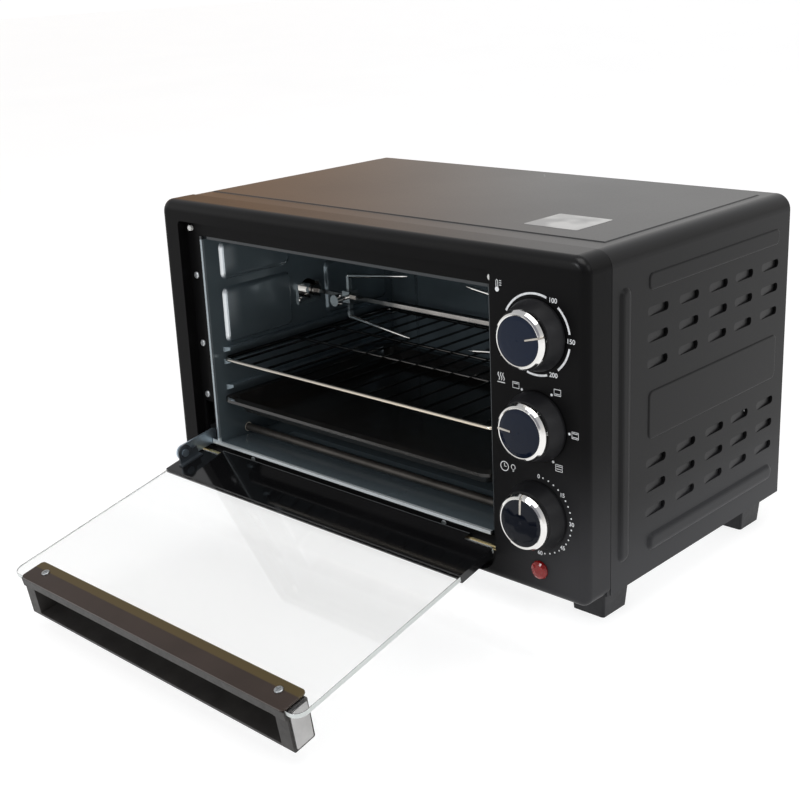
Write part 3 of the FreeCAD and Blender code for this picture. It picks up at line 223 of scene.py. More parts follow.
def cavity_sheet():
    """Coated steel of the oven cavity: blue-grey and glossy, with a faint rolled grain; the hem at the mouth is bare
    bright zinc with a painted highlight on it; painted highlights on the pressed fields, and painted shade towards the
    back, on the roof and on the knob-side wall.
    """
    m = Tree("cavity_coat").set(metal=0.55, spec=0.5, coat=0.25, coat_rough=0.10)
    spangle = m.voronoi(90.0)
    tone = m.noise(5.0, 2, 0.5)
    c1 = m.mix(m.remap(tone, 0.3, 0.7, 0, 1), (0.150, 0.190, 0.212), (0.180, 0.226, 0.252))
    c2 = m.mix(m.remap(spangle.outputs["Distance"], 0.0, 0.8, 0, 0.10), c1, (0.24, 0.29, 0.32))
    x, y, z = m.axis(0), m.axis(1), m.axis(2)
    # painted highlight: the bare zinc hem at the mouth is painted brighter still, most on the bottom lip
    mouth = m.remap(y, (10.6 - SETBACK) * MM, (11.2 - SETBACK) * MM, 1.0, 0.0)
    hem = m.math("MULTIPLY", mouth, m.remap(z, 0.0590, 0.0615, 1.0, 0.22))
    c3 = m.mix(hem, c2, (0.80, 0.85, 0.87))
    # painted highlight: near-white streaks on the front-facing slopes of the pressed fields
    field_highlight = m.math("MULTIPLY", m.remap(m.facing((0.0, 1.0, 0.0)), 0.30, 0.85, 0.0, 1.0), m.remap(z, 0.141, 0.146, 0.0, 1.0))
    field_highlight = m.math("MULTIPLY", field_highlight, m.remap(y, (40.0 - SETBACK) * MM, (44.0 - SETBACK) * MM, 1.0, 0.0))
    field_highlight = m.math("MULTIPLY", field_highlight, m.remap(y, (20.0 - SETBACK) * MM, (24.0 - SETBACK) * MM, 0.0, 1.0))
    c3 = m.mix(field_highlight, c3, (0.95, 0.98, 1.0))
    # painted highlight fading rearwards over the upper and lower pressed fields
    highlight_fade = m.remap(y, (32.0 - SETBACK) * MM, (46.0 - SETBACK) * MM, 0.55, 0.0, True)
    highlight_fade = m.math("MULTIPLY", highlight_fade, m.remap(y, (27.0 - SETBACK) * MM, (30.0 - SETBACK) * MM, 0.0, 1.0))
    upper = m.math("MULTIPLY", m.remap(z, 0.203, 0.214, 0.0, 1.0, True), m.remap(z, 0.224, 0.231, 1.0, 0.0, True))
    lower = m.math("MULTIPLY", m.remap(z, 0.147, 0.182, 0.0, 1.0, True), m.remap(z, 0.185, 0.191, 1.0, 0.0, True))
    c3 = m.mix(m.math("MULTIPLY", highlight_fade, m.math("MAXIMUM", upper, lower)), c3, (0.70, 0.78, 0.82))
    # painted shade: darker towards the back, and much darker on the roof and on the knob-side wall, most at the mouth
    deep = m.remap(y, (90.0 - SETBACK) * MM, (235.0 - SETBACK) * MM, 0.0, 0.12)
    c3 = m.mix(deep, c3, (0.035, 0.042, 0.048))
    # painted shade on the roof and the knob-side wall
    roof_side_shade = m.math("MAXIMUM", m.remap(z, 0.2372, 0.2382, 0.0, 0.92), m.remap(x, 0.1285, 0.1292, 0.0, 0.88))
    roof_side_shade = m.math("MULTIPLY", roof_side_shade, m.remap(y, (20.0 - SETBACK) * MM, (22.0 - SETBACK) * MM, 1.0, 0.3))
    c3 = m.mix(roof_side_shade, c3, (0.010, 0.011, 0.012))
    m.link(c3, m.b.inputs["Base Color"])
    r = m.remap(m.noise(6.0, 2, 0.5), 0.3, 0.7, 0.19, 0.26)
    m.link(m.math("ADD", r, m.math("MULTIPLY", hem, 0.12)), m.b.inputs["Roughness"])
    m.bump(m.noise(11.0, 1, 0.4), 0.10, 0.0008)
    m.bump(m.noise(700.0, 2, 0.5), 0.03, 0.0001)
    return m.mat


def glass_pane():
    """Clear tempered pane with ground, frosted edges."""
    m = Tree("tempered_glass").set(metal=0.0, ior=1.5, spec=0.5)
    edge = m.remap(m.facing((0.0, -0.225, 0.974)), 0.55, 0.80, 1.0, 0.0)
    m.link(m.mix(edge, (0.982, 0.984, 0.980), (0.90, 0.94, 0.92)), m.b.inputs["Base Color"])
    m.link(m.remap(edge, 0.0, 1.0, 1.0, 0.35), m.b.inputs["Transmission Weight"])
    smear = m.remap(m.noise(25.0, 4, 0.6), 0.35, 0.7, 0.0, 0.012)
    m.link(m.math("ADD", smear, m.math("MULTIPLY", edge, 0.30)), m.b.inputs["Roughness"])
    m.bump(m.noise(3.0, 1, 0.4), 0.02, 0.0004)
    return m.mat


def case_coat():
    """Satin black enamel of the case: the flat top catches more gloss than the rolled sides."""
    m = Tree("case_enamel").set(metal=0.0, spec=0.115, coat_rough=0.30)
    cloud = m.noise(6.0, 3, 0.5)
    body = m.mix(m.remap(cloud, 0.3, 0.7, 0, 1), (0.0078, 0.0077, 0.0080), (0.0105, 0.0103, 0.0107))
    # painted reflection of the floor: the sides painted lighter and bluer towards the bottom
    skirt = m.remap(m.axis(2), 0.105, 0.030, 0.0, 1.0, True)
    m.link(m.mix(skirt, body, (0.0300, 0.0305, 0.0330)), m.b.inputs["Base Color"])
    top = m.remap(m.axis(2), 0.262, 0.2695, 0.0, 0.55)
    m.link(top, m.b.inputs["Coat Weight"])
    m.link(m.math("ADD", m.remap(cloud, 0.3, 0.7, 0.31, 0.37), m.remap(m.noise(900.0, 2, 0.5), 0.3, 0.7, -0.02, 0.02)), m.b.inputs["Roughness"])
    m.bump(m.noise(420.0, 2, 0.5), 0.09, 0.0002)
    m.bump(m.noise(1500.0, 1, 0.5), 0.05, 0.0001)
    return m.mat


def bezel_coat():
    """Deep black enamel of the front frame; a painted reflection greys it towards its rolled outer edge and its bottom.
    """
    m = Tree("bezel_enamel").set(metal=0.0, spec=0.05, coat_rough=0.28)
    cloud = m.noise(9.0, 4, 0.55)
    base = m.mix(m.remap(cloud, 0.3, 0.7, 0, 1), (0.0034, 0.0033, 0.0035), (0.0048, 0.0047, 0.0049))
    # painted reflection: greyer towards the bottom and the rolled outer edge
    low = m.remap(m.axis(2), 0.150, 0.040, 0.0, 1.0, True)
    outer = m.remap(m.axis(0), 0.125, 0.214, 0.0, 1.0, True)
    m.link(m.mix(m.math("MULTIPLY", low, outer), base, (0.036, 0.036, 0.038)), m.b.inputs["Base Color"])
    m.link(m.remap(m.axis(2), 0.2615, 0.2695, 0.0, 0.50), m.b.inputs["Coat Weight"])
    m.link(m.math("ADD", m.remap(cloud, 0.3, 0.7, 0.30, 0.38), m.remap(m.noise(900.0, 2, 0.5), 0.3, 0.7, -0.02, 0.02)), m.b.inputs["Roughness"])
    m.bump(m.noise(420.0, 2, 0.5), 0.08, 0.0002)
    m.bump(m.noise(1500.0, 1, 0.5), 0.05, 0.0001)
    return m.mat


def knob_moulding():
    """The knob body: satin skirt, and a glossy deep-blue face inside the chrome ring."""
    m = Tree("knob_moulding").set(metal=0.0, spec=0.16, coat=0.0)
    y = m.axis(1)
    face = m.remap(y, (-17.2 - SETBACK) * MM, (-18.4 - SETBACK) * MM, 0.0, 1.0)
    a = m.noise(40.0, 3, 0.6)
    skirt = m.mix(m.remap(a, 0.3, 0.7, 0, 1), (0.0085, 0.0085, 0.0095), (0.013, 0.013, 0.0145))
    # painted reflection: the blue faces are painted lighter and bluer the higher they sit
    cap = m.mix(m.remap(m.axis(2), 0.07, 0.20, 0, 1), (0.0024, 0.0032, 0.0060), (0.0042, 0.0090, 0.0230))
    m.link(m.mix(face, skirt, cap), m.b.inputs["Base Color"])
    r1 = m.remap(m.noise(300.0, 3, 0.6), 0.3, 0.7, 0.36, 0.46)
    r2 = m.remap(m.noise(60.0, 3, 0.6), 0.3, 0.7, 0.03, 0.06)
    mixr = m.math("ADD", m.math("MULTIPLY", r1, m.math("SUBTRACT", 1.0, face)), m.math("MULTIPLY", r2, face))
    m.link(mixr, m.b.inputs["Roughness"])
    m.bump(m.math("MULTIPLY", m.voronoi(2400.0).outputs["Distance"], m.math("SUBTRACT", 1.0, face)), 0.15, 0.00008)
    return m.mat


def lamp_lens():
    m = Tree("lamp_lens").set(metal=0.0, spec=0.25, trans=0.15, ior=1.49, coat=0.35, coat_rough=0.05, sss=0.0)
    ring = m.voronoi(700.0)
    m.link(m.mix(m.remap(ring.outputs["Distance"], 0.0, 0.9, 0, 0.7), (0.16, 0.002, 0.002), (0.34, 0.008, 0.007)), m.b.inputs["Base Color"])
    m.link(m.remap(m.noise(200.0, 2, 0.5), 0.3, 0.7, 0.08, 0.2), m.b.inputs["Roughness"])
    m.bump(ring.outputs["Distance"], 0.10, 0.0002)
    return m.mat


def rack_wire():
    """Plated rack wire: the front bar keeps the plating's bright colour, with painted shade towards its left end; the
    rest is painted dark as painted shade inside the cavity.
    """
    m = Tree("rack_wire").set(metal=1.0)
    drift = m.noise(30.0, 4, 0.6)
    # painted shade: the front bar darker towards its left end, and every wire behind it painted dark
    front = m.remap(m.axis(1), (20.8 - SETBACK) * MM, (22.5 - SETBACK) * MM, 1.0, 0.0)
    bright = m.mix(m.remap(m.axis(0), -0.17, 0.06, 0.0, 1.0), (0.40, 0.38, 0.35), (0.78, 0.70, 0.58))
    shaded_wire = m.mix(m.remap(drift, 0.3, 0.7, 0, 1), (0.085, 0.082, 0.078), (0.15, 0.145, 0.14))
    m.link(m.mix(front, shaded_wire, bright), m.b.inputs["Base Color"])
    m.link(m.remap(m.noise(120.0, 4, 0.65), 0.3, 0.7, 0.13, 0.22), m.b.inputs["Roughness"])
    m.bump(m.noise(500.0, 2, 0.5), 0.02, 0.0001)
    return m.mat


def ceramic():
    m = Tree("steatite").set(metal=0.0, spec=0.4)
    m.link(m.mix(m.remap(m.noise(300.0, 4, 0.6), 0.3, 0.7, 0, 1), (0.62, 0.57, 0.48), (0.78, 0.74, 0.65)), m.b.inputs["Base Color"])
    m.link(m.remap(m.noise(120.0, 3, 0.6), 0.3, 0.7, 0.55, 0.75), m.b.inputs["Roughness"])
    m.bump(m.noise(2000.0, 3, 0.6), 0.2, 0.0001)
    return m.mat


def silicone():
    m = Tree("silicone").set(metal=0.0, spec=0.4, sheen=0.1)
    m.link(m.mix(m.remap(m.noise(400.0, 3, 0.6), 0.3, 0.7, 0, 1), (0.62, 0.62, 0.60), (0.76, 0.76, 0.73)), m.b.inputs["Base Color"])
    m.link(m.remap(m.noise(500.0, 2, 0.5), 0.3, 0.7, 0.4, 0.55), m.b.inputs["Roughness"])
    m.bump(m.noise(1800.0, 2, 0.5), 0.1, 0.0001)
    return m.mat


def ink():
    m = Tree("dial_ink").set(metal=0.0, spec=0.3)
    m.link(m.mix(m.remap(m.noise(900.0, 3, 0.6), 0.35, 0.65, 0, 1), (0.62, 0.63, 0.64), (0.82, 0.83, 0.84)), m.b.inputs["Base Color"])
    m.link(m.remap(m.noise(700.0, 2, 0.5), 0.3, 0.7, 0.45, 0.6), m.b.inputs["Roughness"])
    m.bump(m.noise(3000.0, 2, 0.5), 0.08, 0.00005)
    return m.mat


def foil():
    """Blank silver label foil."""
    m = Tree("label_foil").set(metal=0.6)
    blocks = m.noise(35.0, 2, 0.4, (1.0, 1.0, 0.0))
    m.link(m.mix(m.remap(blocks, 0.4, 0.6, 0, 1), (0.42, 0.42, 0.42), (0.66, 0.66, 0.65)), m.b.inputs["Base Color"])
    m.link(m.remap(m.noise(900.0, 3, 0.6), 0.3, 0.7, 0.28, 0.4), m.b.inputs["Roughness"])
    m.bump(m.noise(30.0, 3, 0.5), 0.3, 0.0003)
    return m.mat


def plate_finish():
    """Clamp plate of the handle: brown coat over drawn metal, with a warmer golden strip along the edge nearest the
    glass.
    """
    m = Tree("plate_finish").set(metal=0.10, spec=0.22, coat=0.08, coat_rough=0.18)
    drift = m.noise(18.0, 3, 0.6)
    base = m.mix(m.remap(drift, 0.3, 0.7, 0, 1), (0.034, 0.023, 0.018), (0.044, 0.030, 0.024))
    # distance along the pane at rest, from the hinge axis
    y = m.math("SUBTRACT", m.math("MULTIPLY", m.axis(1), -0.974), m.math("MULTIPLY", m.axis(2), 0.225))
    strip = m.remap(y, PLATE_EDGE + 0.0072, PLATE_EDGE + 0.0080, 1.0, 0.0)
    m.link(m.mix(strip, base, (0.082, 0.057, 0.020)), m.b.inputs["Base Color"])
    lines = m.noise(80.0, 3, 0.5, (0.05, 1.0, 1.0))
    m.link(m.remap(lines, 0.3, 0.7, 0.26, 0.34), m.b.inputs["Roughness"])
    m.bump(lines, 0.02, 0.0002)
    return m.mat


# the clamp plate's edge nearest the hinge, as its distance down the open pane (m)
_c = [P(0, 3.6, 48.3) + Vector((0, -0.974 * d, -0.225 * d)) for d in (0.1828,)]
PLATE_EDGE = -0.974 * _c[0].y - 0.225 * _c[0].z

MATS = {
    "case_enamel": case_coat(),
    "bezel_enamel": bezel_coat(),
    "cavity_enamel": cavity_sheet(),
    "galvanised": metal("galvanised", (0.40, 0.42, 0.43), (0.60, 0.62, 0.63), 0.34, scratches=0.8),
    "steel_wire": metal("steel_wire", (0.36, 0.335, 0.30), (0.52, 0.49, 0.45), 0.16),
    "rack_wire": rack_wire(),
    "spit_steel": metal("spit_steel", (0.22, 0.21, 0.20), (0.36, 0.345, 0.33), 0.14),
    "heater_steel": metal("heater_steel", (0.060, 0.054, 0.048), (0.115, 0.105, 0.095), 0.40, metallic=0.7),
    "ceramic": ceramic(),
    "tray_enamel": enamel("tray_enamel", (0.0085, 0.0078, 0.0072), (0.0125, 0.0112, 0.0100), 0.15, 0.5, 0.6),
    "door_glass": glass_pane(),
    "black_gloss": enamel("black_gloss", (0.0035, 0.0035, 0.0038), (0.0055, 0.0055, 0.0060), 0.07, 0.5, 0.4),
    "black_matte": moulded("black_matte", (0.0085, 0.0080, 0.0076), 0.44, 0.4),
    "foot_black": moulded("foot_black", (0.0105, 0.0105, 0.0120), 0.42, 0.22),
    "bracket_steel": metal("bracket_steel", (0.10, 0.12, 0.14), (0.16, 0.18, 0.20), 0.34, metallic=0.8),
    "handle_black": moulded("handle_black", (0.0220, 0.0200, 0.0185), 0.46, 0.30),
    "stay_steel": metal("stay_steel", (0.42, 0.52, 0.60), (0.56, 0.66, 0.74), 0.30, metallic=0.9),
    "handle_plate": plate_finish(),
    "knob_black": knob_moulding(),
    "chrome_trim": metal("chrome_trim", (0.74, 0.73, 0.71), (0.84, 0.83, 0.81), 0.07, scratches=0.15),
    "brass": metal("brass", (0.46, 0.36, 0.17), (0.66, 0.55, 0.30), 0.20, (0.3, 1.0, 1.0)),
    "lamp_red": lamp_lens(),
    "bumper_white": silicone(),
    "grey_plate": metal("grey_plate", (0.36, 0.355, 0.35), (0.50, 0.495, 0.49), 0.34, (1.0, 0.1, 1.0), metallic=0.75),
    "ink": ink(),
    "foil": foil(),
}
SLOT_OF = {s["node"]: s["material_slot"] for s in RECORD["subparts"]}
OVERRIDE = {"front_bezel": "bezel_enamel", "handle_bar": "handle_black", "door_stay_link": "stay_steel", "door_link_bracket": "bracket_steel", "door_link_rivet": "stay_steel", "wire_rack": "rack_wire", "spit_rod": "spit_steel", "spit_forks": "chrome_trim", "spit_thumbscrews": "chrome_trim", "spit_support_left": "chrome_trim"}
for n in ("foot_front_left", "foot_front_right", "foot_rear_left", "foot_rear_right"):
    OVERRIDE[n] = "foot_black"
for name, o in NODES.items():
    key = OVERRIDE.get(name, SLOT_OF[name])
    o.data.materials.clear()
    o.data.materials.append(MATS[key])


# ------------------------------------------------------------------ mesh helpers
def piece(name, me, mat, body, smooth=False):
    o = bpy.data.objects.new(name, me)
    scene.collection.objects.link(o)
    me.materials.append(MATS[mat])
    if smooth:
        for p in me.polygons:
            p.use_smooth = True
    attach(o, body)
    return o


def from_bm(bm, name):
    me = bpy.data.meshes.new(name)
    bmesh.ops.recalc_face_normals(bm, faces=bm.faces)
    bm.to_mesh(me)
    bm.free()
    return me


FRONT = -0.06            # printing stands this far in front of the panel, in mm
INK = 0.05


def add_flat(bm, pts, y0=FRONT, y1=FRONT + INK):
    """A thin closed slab in XZ from an outline (mm)."""
    a = [bm.verts.new(P(x, y0, z)) for x, z in pts]
    b = [bm.verts.new(P(x, y1, z)) for x, z in pts]
    bm.faces.new(a)
    bm.faces.new(list(reversed(b)))
    n = len(pts)
    for i in range(n):
        bm.faces.new((a[i], b[i], b[(i + 1) % n], a[(i + 1) % n]))


def add_ribbon(bm, line, width, closed=False):
    """A thin slab that follows a line of points in XZ."""
    n = len(line)
    rows = []
    for i, (x, z) in enumerate(line):
        if closed:
            p, q = line[i - 1], line[(i + 1) % n]
        else:
            p, q = line[max(i - 1, 0)], line[min(i + 1, n - 1)]
        dx, dz = q[0] - p[0], q[1] - p[1]
        l = math.hypot(dx, dz) or 1
        nx, nz = -dz / l * width / 2, dx / l * width / 2
        rows.append([bm.verts.new(P(x + nx, FRONT, z + nz)), bm.verts.new(P(x - nx, FRONT, z - nz)),
                     bm.verts.new(P(x - nx, FRONT + INK, z - nz)), bm.verts.new(P(x + nx, FRONT + INK, z + nz))])
    last = n if closed else n - 1
    for i in range(last):
        a, b = rows[i], rows[(i + 1) % n]
        for k in range(4):
            bm.faces.new((a[k], a[(k + 1) % 4], b[(k + 1) % 4], b[k]))
    if not closed:
        bm.faces.new(rows[0])
        bm.faces.new(list(reversed(rows[-1])))


def clock(cx, cz, r, deg):
    t = math.radians(deg)
    return (cx + r * math.sin(t), cz + r * math.cos(t))


def arc_line(cx, cz, r, a0, a1, step=3.0):
    n = max(2, int(abs(a1 - a0) / step) + 1)
    return [clock(cx, cz, r, a0 + (a1 - a0) * i / (n - 1)) for i in range(n)]


def add_disc(bm, cx, cz, r, n=20):
    add_flat(bm, [clock(cx, cz, r, 360 * i / n) for i in range(n)])


def text_mesh(body, x, z, size, name):
    cu = bpy.data.curves.new(name + "_font", "FONT")
    cu.body = body
    cu.size = size * MM
    cu.align_x = "CENTER"
    cu.align_y = "CENTER"
    cu.extrude = 0.02 * MM
    cu.offset = 0.055 * MM
    tmp = bpy.data.objects.new(name + "_tmp", cu)
    scene.collection.objects.link(tmp)
    tmp.matrix_world = Matrix.Translation(P(x, FRONT + INK * 0.5, z)) @ Matrix.Rotation(math.radians(90), 4, "X")
    bpy.context.view_layer.update()
    me = bpy.data.meshes.new_from_object(tmp.evaluated_get(bpy.context.evaluated_depsgraph_get()))
    me.transform(tmp.matrix_world)
    me.name = name
    bpy.data.objects.remove(tmp)
    return me


KX = 179.0
KZ = {"thermostat": 214.9, "function": 151.2, "timer": 86.5}

# ------------------------------------------------------------------ printing round the thermostat
bm = bmesh.new()
for a0, a1 in ((-62, 19), (41, 81), (101, 140), (161, 196)):
    add_ribbon(bm, arc_line(KX, KZ["thermostat"], 27.8, a0, a1), 1.5)
piece("print_heat_scale", from_bm(bm, "print_heat_scale"), "ink", "oven_body")
for txt, x, z in (("100", 193.2, 239.9), ("150", 207.4, 214.5), ("200", 193.2, 189.4)):
    piece("print_heat_" + txt, text_mesh(txt, x, z, 4.6, "print_heat_" + txt), "ink", "oven_body")

# ------------------------------------------------------------------ printing round the timer
bm = bmesh.new()
marks = (0, 47, 90, 132, 178)
for a, b in zip(marks, marks[1:]):
    for k in range(1, 5):
        add_disc(bm, *clock(KX, KZ["timer"], 28.4, a + (b - a) * k / 5), 0.62)
piece("print_timer_dots", from_bm(bm, "print_timer_dots"), "ink", "oven_body")
for txt, deg in (("0", 2), ("15", 47), ("30", 90), ("45", 133), ("60", 177)):
    x, z = clock(KX, KZ["timer"], 28.4, deg)
    piece("print_timer_" + txt, text_mesh(txt, x, z, 4.2, "print_timer_" + txt), "ink", "oven_body")

# ------------------------------------------------------------------ plain pictograms
W = 0.5


def box_line(x0, x1, z0, z1):
    return [(x0, z0), (x1, z0), (x1, z1), (x0, z1)]


def icon(name, draw):
    b = bmesh.new()
    draw(b)
    piece(name, from_bm(b, name), "ink", "oven_body")


def ic_thermo(b):
    x, z = 146.9, 244.3
    add_ribbon(b, [(x - 0.8, z - 1.6), (x - 0.8, z + 3.0), (x, z + 3.8), (x + 0.8, z + 3.0), (x + 0.8, z - 1.6)], 0.45)
    add_disc(b, x, z - 2.9, 1.7)
    for k in range(3):
        add_ribbon(b, [(x + 2.0, z + 3.2 - k * 1.5), (x + 3.8, z + 3.2 - k * 1.5)], 0.45)


def ic_heat(b):
    x, z = 148.8, 180.1
    for k in (-1.9, 0.2, 2.2):
        add_ribbon(b, [(x + k + 0.7 * math.sin(i * 0.9), z - 2.2 + i * 0.8) for i in range(8)], 0.55)
    add_ribbon(b, [(x - 3.2, z - 3.6), (x + 3.4, z - 3.6)], 0.6)


def ic_clock(b):
    x, z = 150.3, 115.5
    add_ribbon(b, arc_line(x, z, 3.4, 0, 348, 12), 0.55, True)
    add_ribbon(b, [(x, z + 2.3), (x, z), (x + 1.7, z)], 0.5)


def ic_bulb(b):
    x, z = 158.0, 115.6
    add_ribbon(b, arc_line(x, z + 0.9, 1.7, -145, 145, 12), 0.5)
    add_ribbon(b, [(x - 0.8, z - 1.2), (x + 0.8, z - 1.2)], 0.45)
    add_ribbon(b, [(x - 0.6, z - 2.2), (x + 0.6, z - 2.2)], 0.45)


def ic_box(cx, cz, w, h, dot, lines=()):
    def draw(b):
        add_ribbon(b, box_line(cx - w / 2, cx + w / 2, cz - h / 2, cz + h / 2), W, True)
        add_disc(b, dot[0], dot[1], 0.95)
        for l in lines:
            add_ribbon(b, l, 0.42)
    return draw


icon("print_icon_temperature", ic_thermo)
icon("print_icon_heat", ic_heat)
icon("print_icon_time", ic_clock)
icon("print_icon_lamp", ic_bulb)
icon("print_icon_top", ic_box(161.6, 176.8, 5.4, 4.2, (166.6, 174.6), ([(159.4, 177.9), (163.8, 177.9)],)))
icon("print_icon_bottom", ic_box(196.4, 178.0, 5.4, 4.2, (191.6, 175.6), ([(194.2, 176.9), (198.6, 176.9)],)))
icon("print_icon_both", ic_box(210.6, 150.9, 5.2, 4.6, (205.9, 151.2), ([(208.5, 152.2), (212.7, 152.2)], [(208.5, 149.6), (212.7, 149.6)])))
icon("print_icon_spit", ic_box(197.2, 124.9, 5.4, 4.6, (192.4, 128.4), ([(195.0, 126.0), (199.4, 126.0)], [(195.0, 124.2), (199.4, 124.2)])))


# ------------------------------------------------------------------ knob pointers, flat on the face and folded over the ring
def pointer(which, deg):
    cz = KZ[which]
    b = bmesh.new()
    t = math.radians(deg)
    u = (math.sin(t), math.cos(t))
    v = (u[1], -u[0])
    path = [(6.8, 20.02), (13.2, 19.75), (16.9, 19.42), (17.7, 19.62), (19.0, 18.82), (20.25, 16.75)]
    rows = []
    for i, (r, d) in enumerate(path):
        w = 0.82 if 0 < i < len(path) - 1 else 0.74
        top = []
        for s, lift in ((-1, 0.10), (-0.72, 0.42), (0.72, 0.42), (1, 0.10)):
            x = KX + u[0] * r + v[0] * w * s
            z = cz + u[1] * r + v[1] * w * s
            top.append(b.verts.new(P(x, -(d + lift), z)))
        low = [b.verts.new(P(KX + u[0] * r + v[0] * w * s, -(d - 0.25), cz + u[1] * r + v[1] * w * s)) for s in (1, -1)]
        rows.append(top + low)
    for a, c in zip(rows, rows[1:]):
        for k in range(6):
            b.faces.new((a[k], a[(k + 1) % 6], c[(k + 1) % 6], c[k]))
    b.faces.new(rows[0])
    b.faces.new(list(reversed(rows[-1])))
    piece(which + "_pointer", from_bm(b, which + "_pointer"), "steel_wire", which + "_knob")


pointer("thermostat", 75)
pointer("function", -88)
pointer("timer", 0)


# ------------------------------------------------------------------ blank foil label on the top
def rounded_rect(x0, x1, y0, y1, r, n=6):
    pts = []
    for cx, cy, a0 in ((x1 - r, y1 - r, 0), (x0 + r, y1 - r, 90), (x0 + r, y0 + r, 180), (x1 - r, y0 + r, 270)):
        for i in range(n + 1):
            a = math.radians(a0 + 90 * i / n)
            pts.append((cx + r * math.cos(a), cy + r * math.sin(a)))
    return pts


top_z = 270.8
b = bmesh.new()
pts = rounded_rect(116, 163, 68, 112, 2.0)
lo = [b.verts.new(P(x, y, top_z + 0.02)) for x, y in pts]
hi = [b.verts.new(P(x, y, top_z + 0.14)) for x, y in pts]
b.faces.new(hi)
b.faces.new(list(reversed(lo)))
for i in range(len(pts)):
    b.faces.new((lo[i], lo[(i + 1) % len(pts)], hi[(i + 1) % len(pts)], hi[i]))
piece("blank_label", from_bm(b, "blank_label"), "foil", "oven_body")

# ------------------------------------------------------------------ stay spring: a real coil in place of the plain solid
lo_, hi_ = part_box("door_stay_spring")
cx_, cz_ = (lo_.x + hi_.x) / 2, (lo_.z + hi_.z) / 2
cu = bpy.data.curves.new("stay_spring_curve", "CURVE")
cu.dimensions = "3D"
cu.bevel_depth = 0.55 * MM
cu.bevel_resolution = 3
cu.use_fill_caps = True
sp = cu.splines.new("POLY")
ptsl = [Vector((cx_, lo_.y + 0.4 * MM, cz_)), Vector((cx_, lo_.y + 8.8 * MM, cz_))]
turns, steps = 20, 18
for i in range(turns * steps + 1):
    a = 2 * math.pi * i / steps
    ptsl.append(Vector((cx_ + 4.0 * MM * math.sin(a), lo_.y + 10.0 * MM + 52 * MM * i / (turns * steps), cz_ + 4.0 * MM * math.cos(a))))
ptsl += [Vector((cx_, hi_.y - 11.6 * MM, cz_)), Vector((cx_, hi_.y - 0.4 * MM, cz_))]
sp.points.add(len(ptsl) - 1)
for i, p in enumerate(ptsl):
    sp.points[i].co = (p.x, p.y, p.z, 1)
so = bpy.data.objects.new("stay_spring_coil_tmp", cu)
scene.collection.objects.link(so)
bpy.context.view_layer.update()
me = bpy.data.meshes.new_from_object(so.evaluated_get(bpy.context.evaluated_depsgraph_get()))
bpy.data.objects.remove(so)
me.materials.clear()
coil = piece("stay_spring_coil", me, "steel_wire", "oven_body", smooth=True)
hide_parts("door_stay_spring")
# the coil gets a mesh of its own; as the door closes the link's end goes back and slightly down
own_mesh(coil)

# ------------------------------------------------------------------ camera at the photograph's angle
yaw, pitch, roll = math.radians(44.162), math.radians(17.702), math.radians(-2.653)
fwd = Vector((-math.sin(yaw) * math.cos(pitch), math.cos(yaw) * math.cos(pitch), -math.sin(pitch)))
right0 = Vector((math.cos(yaw), math.sin(yaw), 0))
up0 = right0.cross(fwd)
right = math.cos(roll) * right0 + math.sin(roll) * up0
up = -math.sin(roll) * right0 + math.cos(roll) * up0
cam_data = bpy.data.cameras.new("photo_camera")
cam = bpy.data.objects.new("photo_camera", cam_data)
scene.collection.objects.link(cam)
rot = Matrix((right, up, -fwd)).transposed().to_4x4()
cam.matrix_world = Matrix.Translation(P(692.6, -660.3, 452.9)) @ rot
cam_data.sensor_width = 36.0
cam_data.lens = 1314.8 / 800 * 36.0
cam_data.shift_x = 0.002
cam_data.shift_y = -0.024
cam_data.clip_start = 0.01
cam_data.clip_end = 100
scene.camera = cam

# ------------------------------------------------------------------ floor: a pale counter, with a lower floor in front of it
fm = Tree("pale_floor").set(metal=0.0, spec=0.1, emit=0.80, emit_color=(1.0, 1.0, 1.0))
fm.link(fm.mix(fm.remap(fm.noise(2.0, 3, 0.5), 0.3, 0.7, 0, 1), (0.30, 0.30, 0.30), (0.33, 0.33, 0.33)), fm.b.inputs["Base Color"])
fm.link(fm.remap(fm.noise(5.0, 3, 0.5), 0.3, 0.7, 0.55, 0.7), fm.b.inputs["Roughness"])
LOW = -0.041
EDGE = (24.0 - SETBACK) * MM
R = 0.012
prof = [(14.0, 0.0)]
prof += [(EDGE + R - R * math.sin(math.radians(a)), -R + R * math.cos(math.radians(a))) for a in range(0, 91, 9)]
prof += [(EDGE - 0.012 + 0.012 * math.cos(math.radians(a)), LOW + 0.012 - 0.012 * math.sin(math.radians(a))) for a in range(0, 91, 9)]
prof += [(-10.0, LOW)]
b = bmesh.new()
rows = [[b.verts.new((x, y, z)) for y, z in prof] for x in (-14.0, 14.0)]
for i in range(len(prof) - 1):
    f = b.faces.new((rows[0][i], rows[1][i], rows[1][i + 1], rows[0][i + 1]))
    f.smooth = True
me = bpy.data.meshes.new("pale_floor")
bmesh.ops.recalc_face_normals(b, faces=b.faces)
b.to_mesh(me)
b.free()
me.materials.append(fm.mat)
floor = bpy.data.objects.new("pale_floor", me)
scene.collection.objects.link(floor)

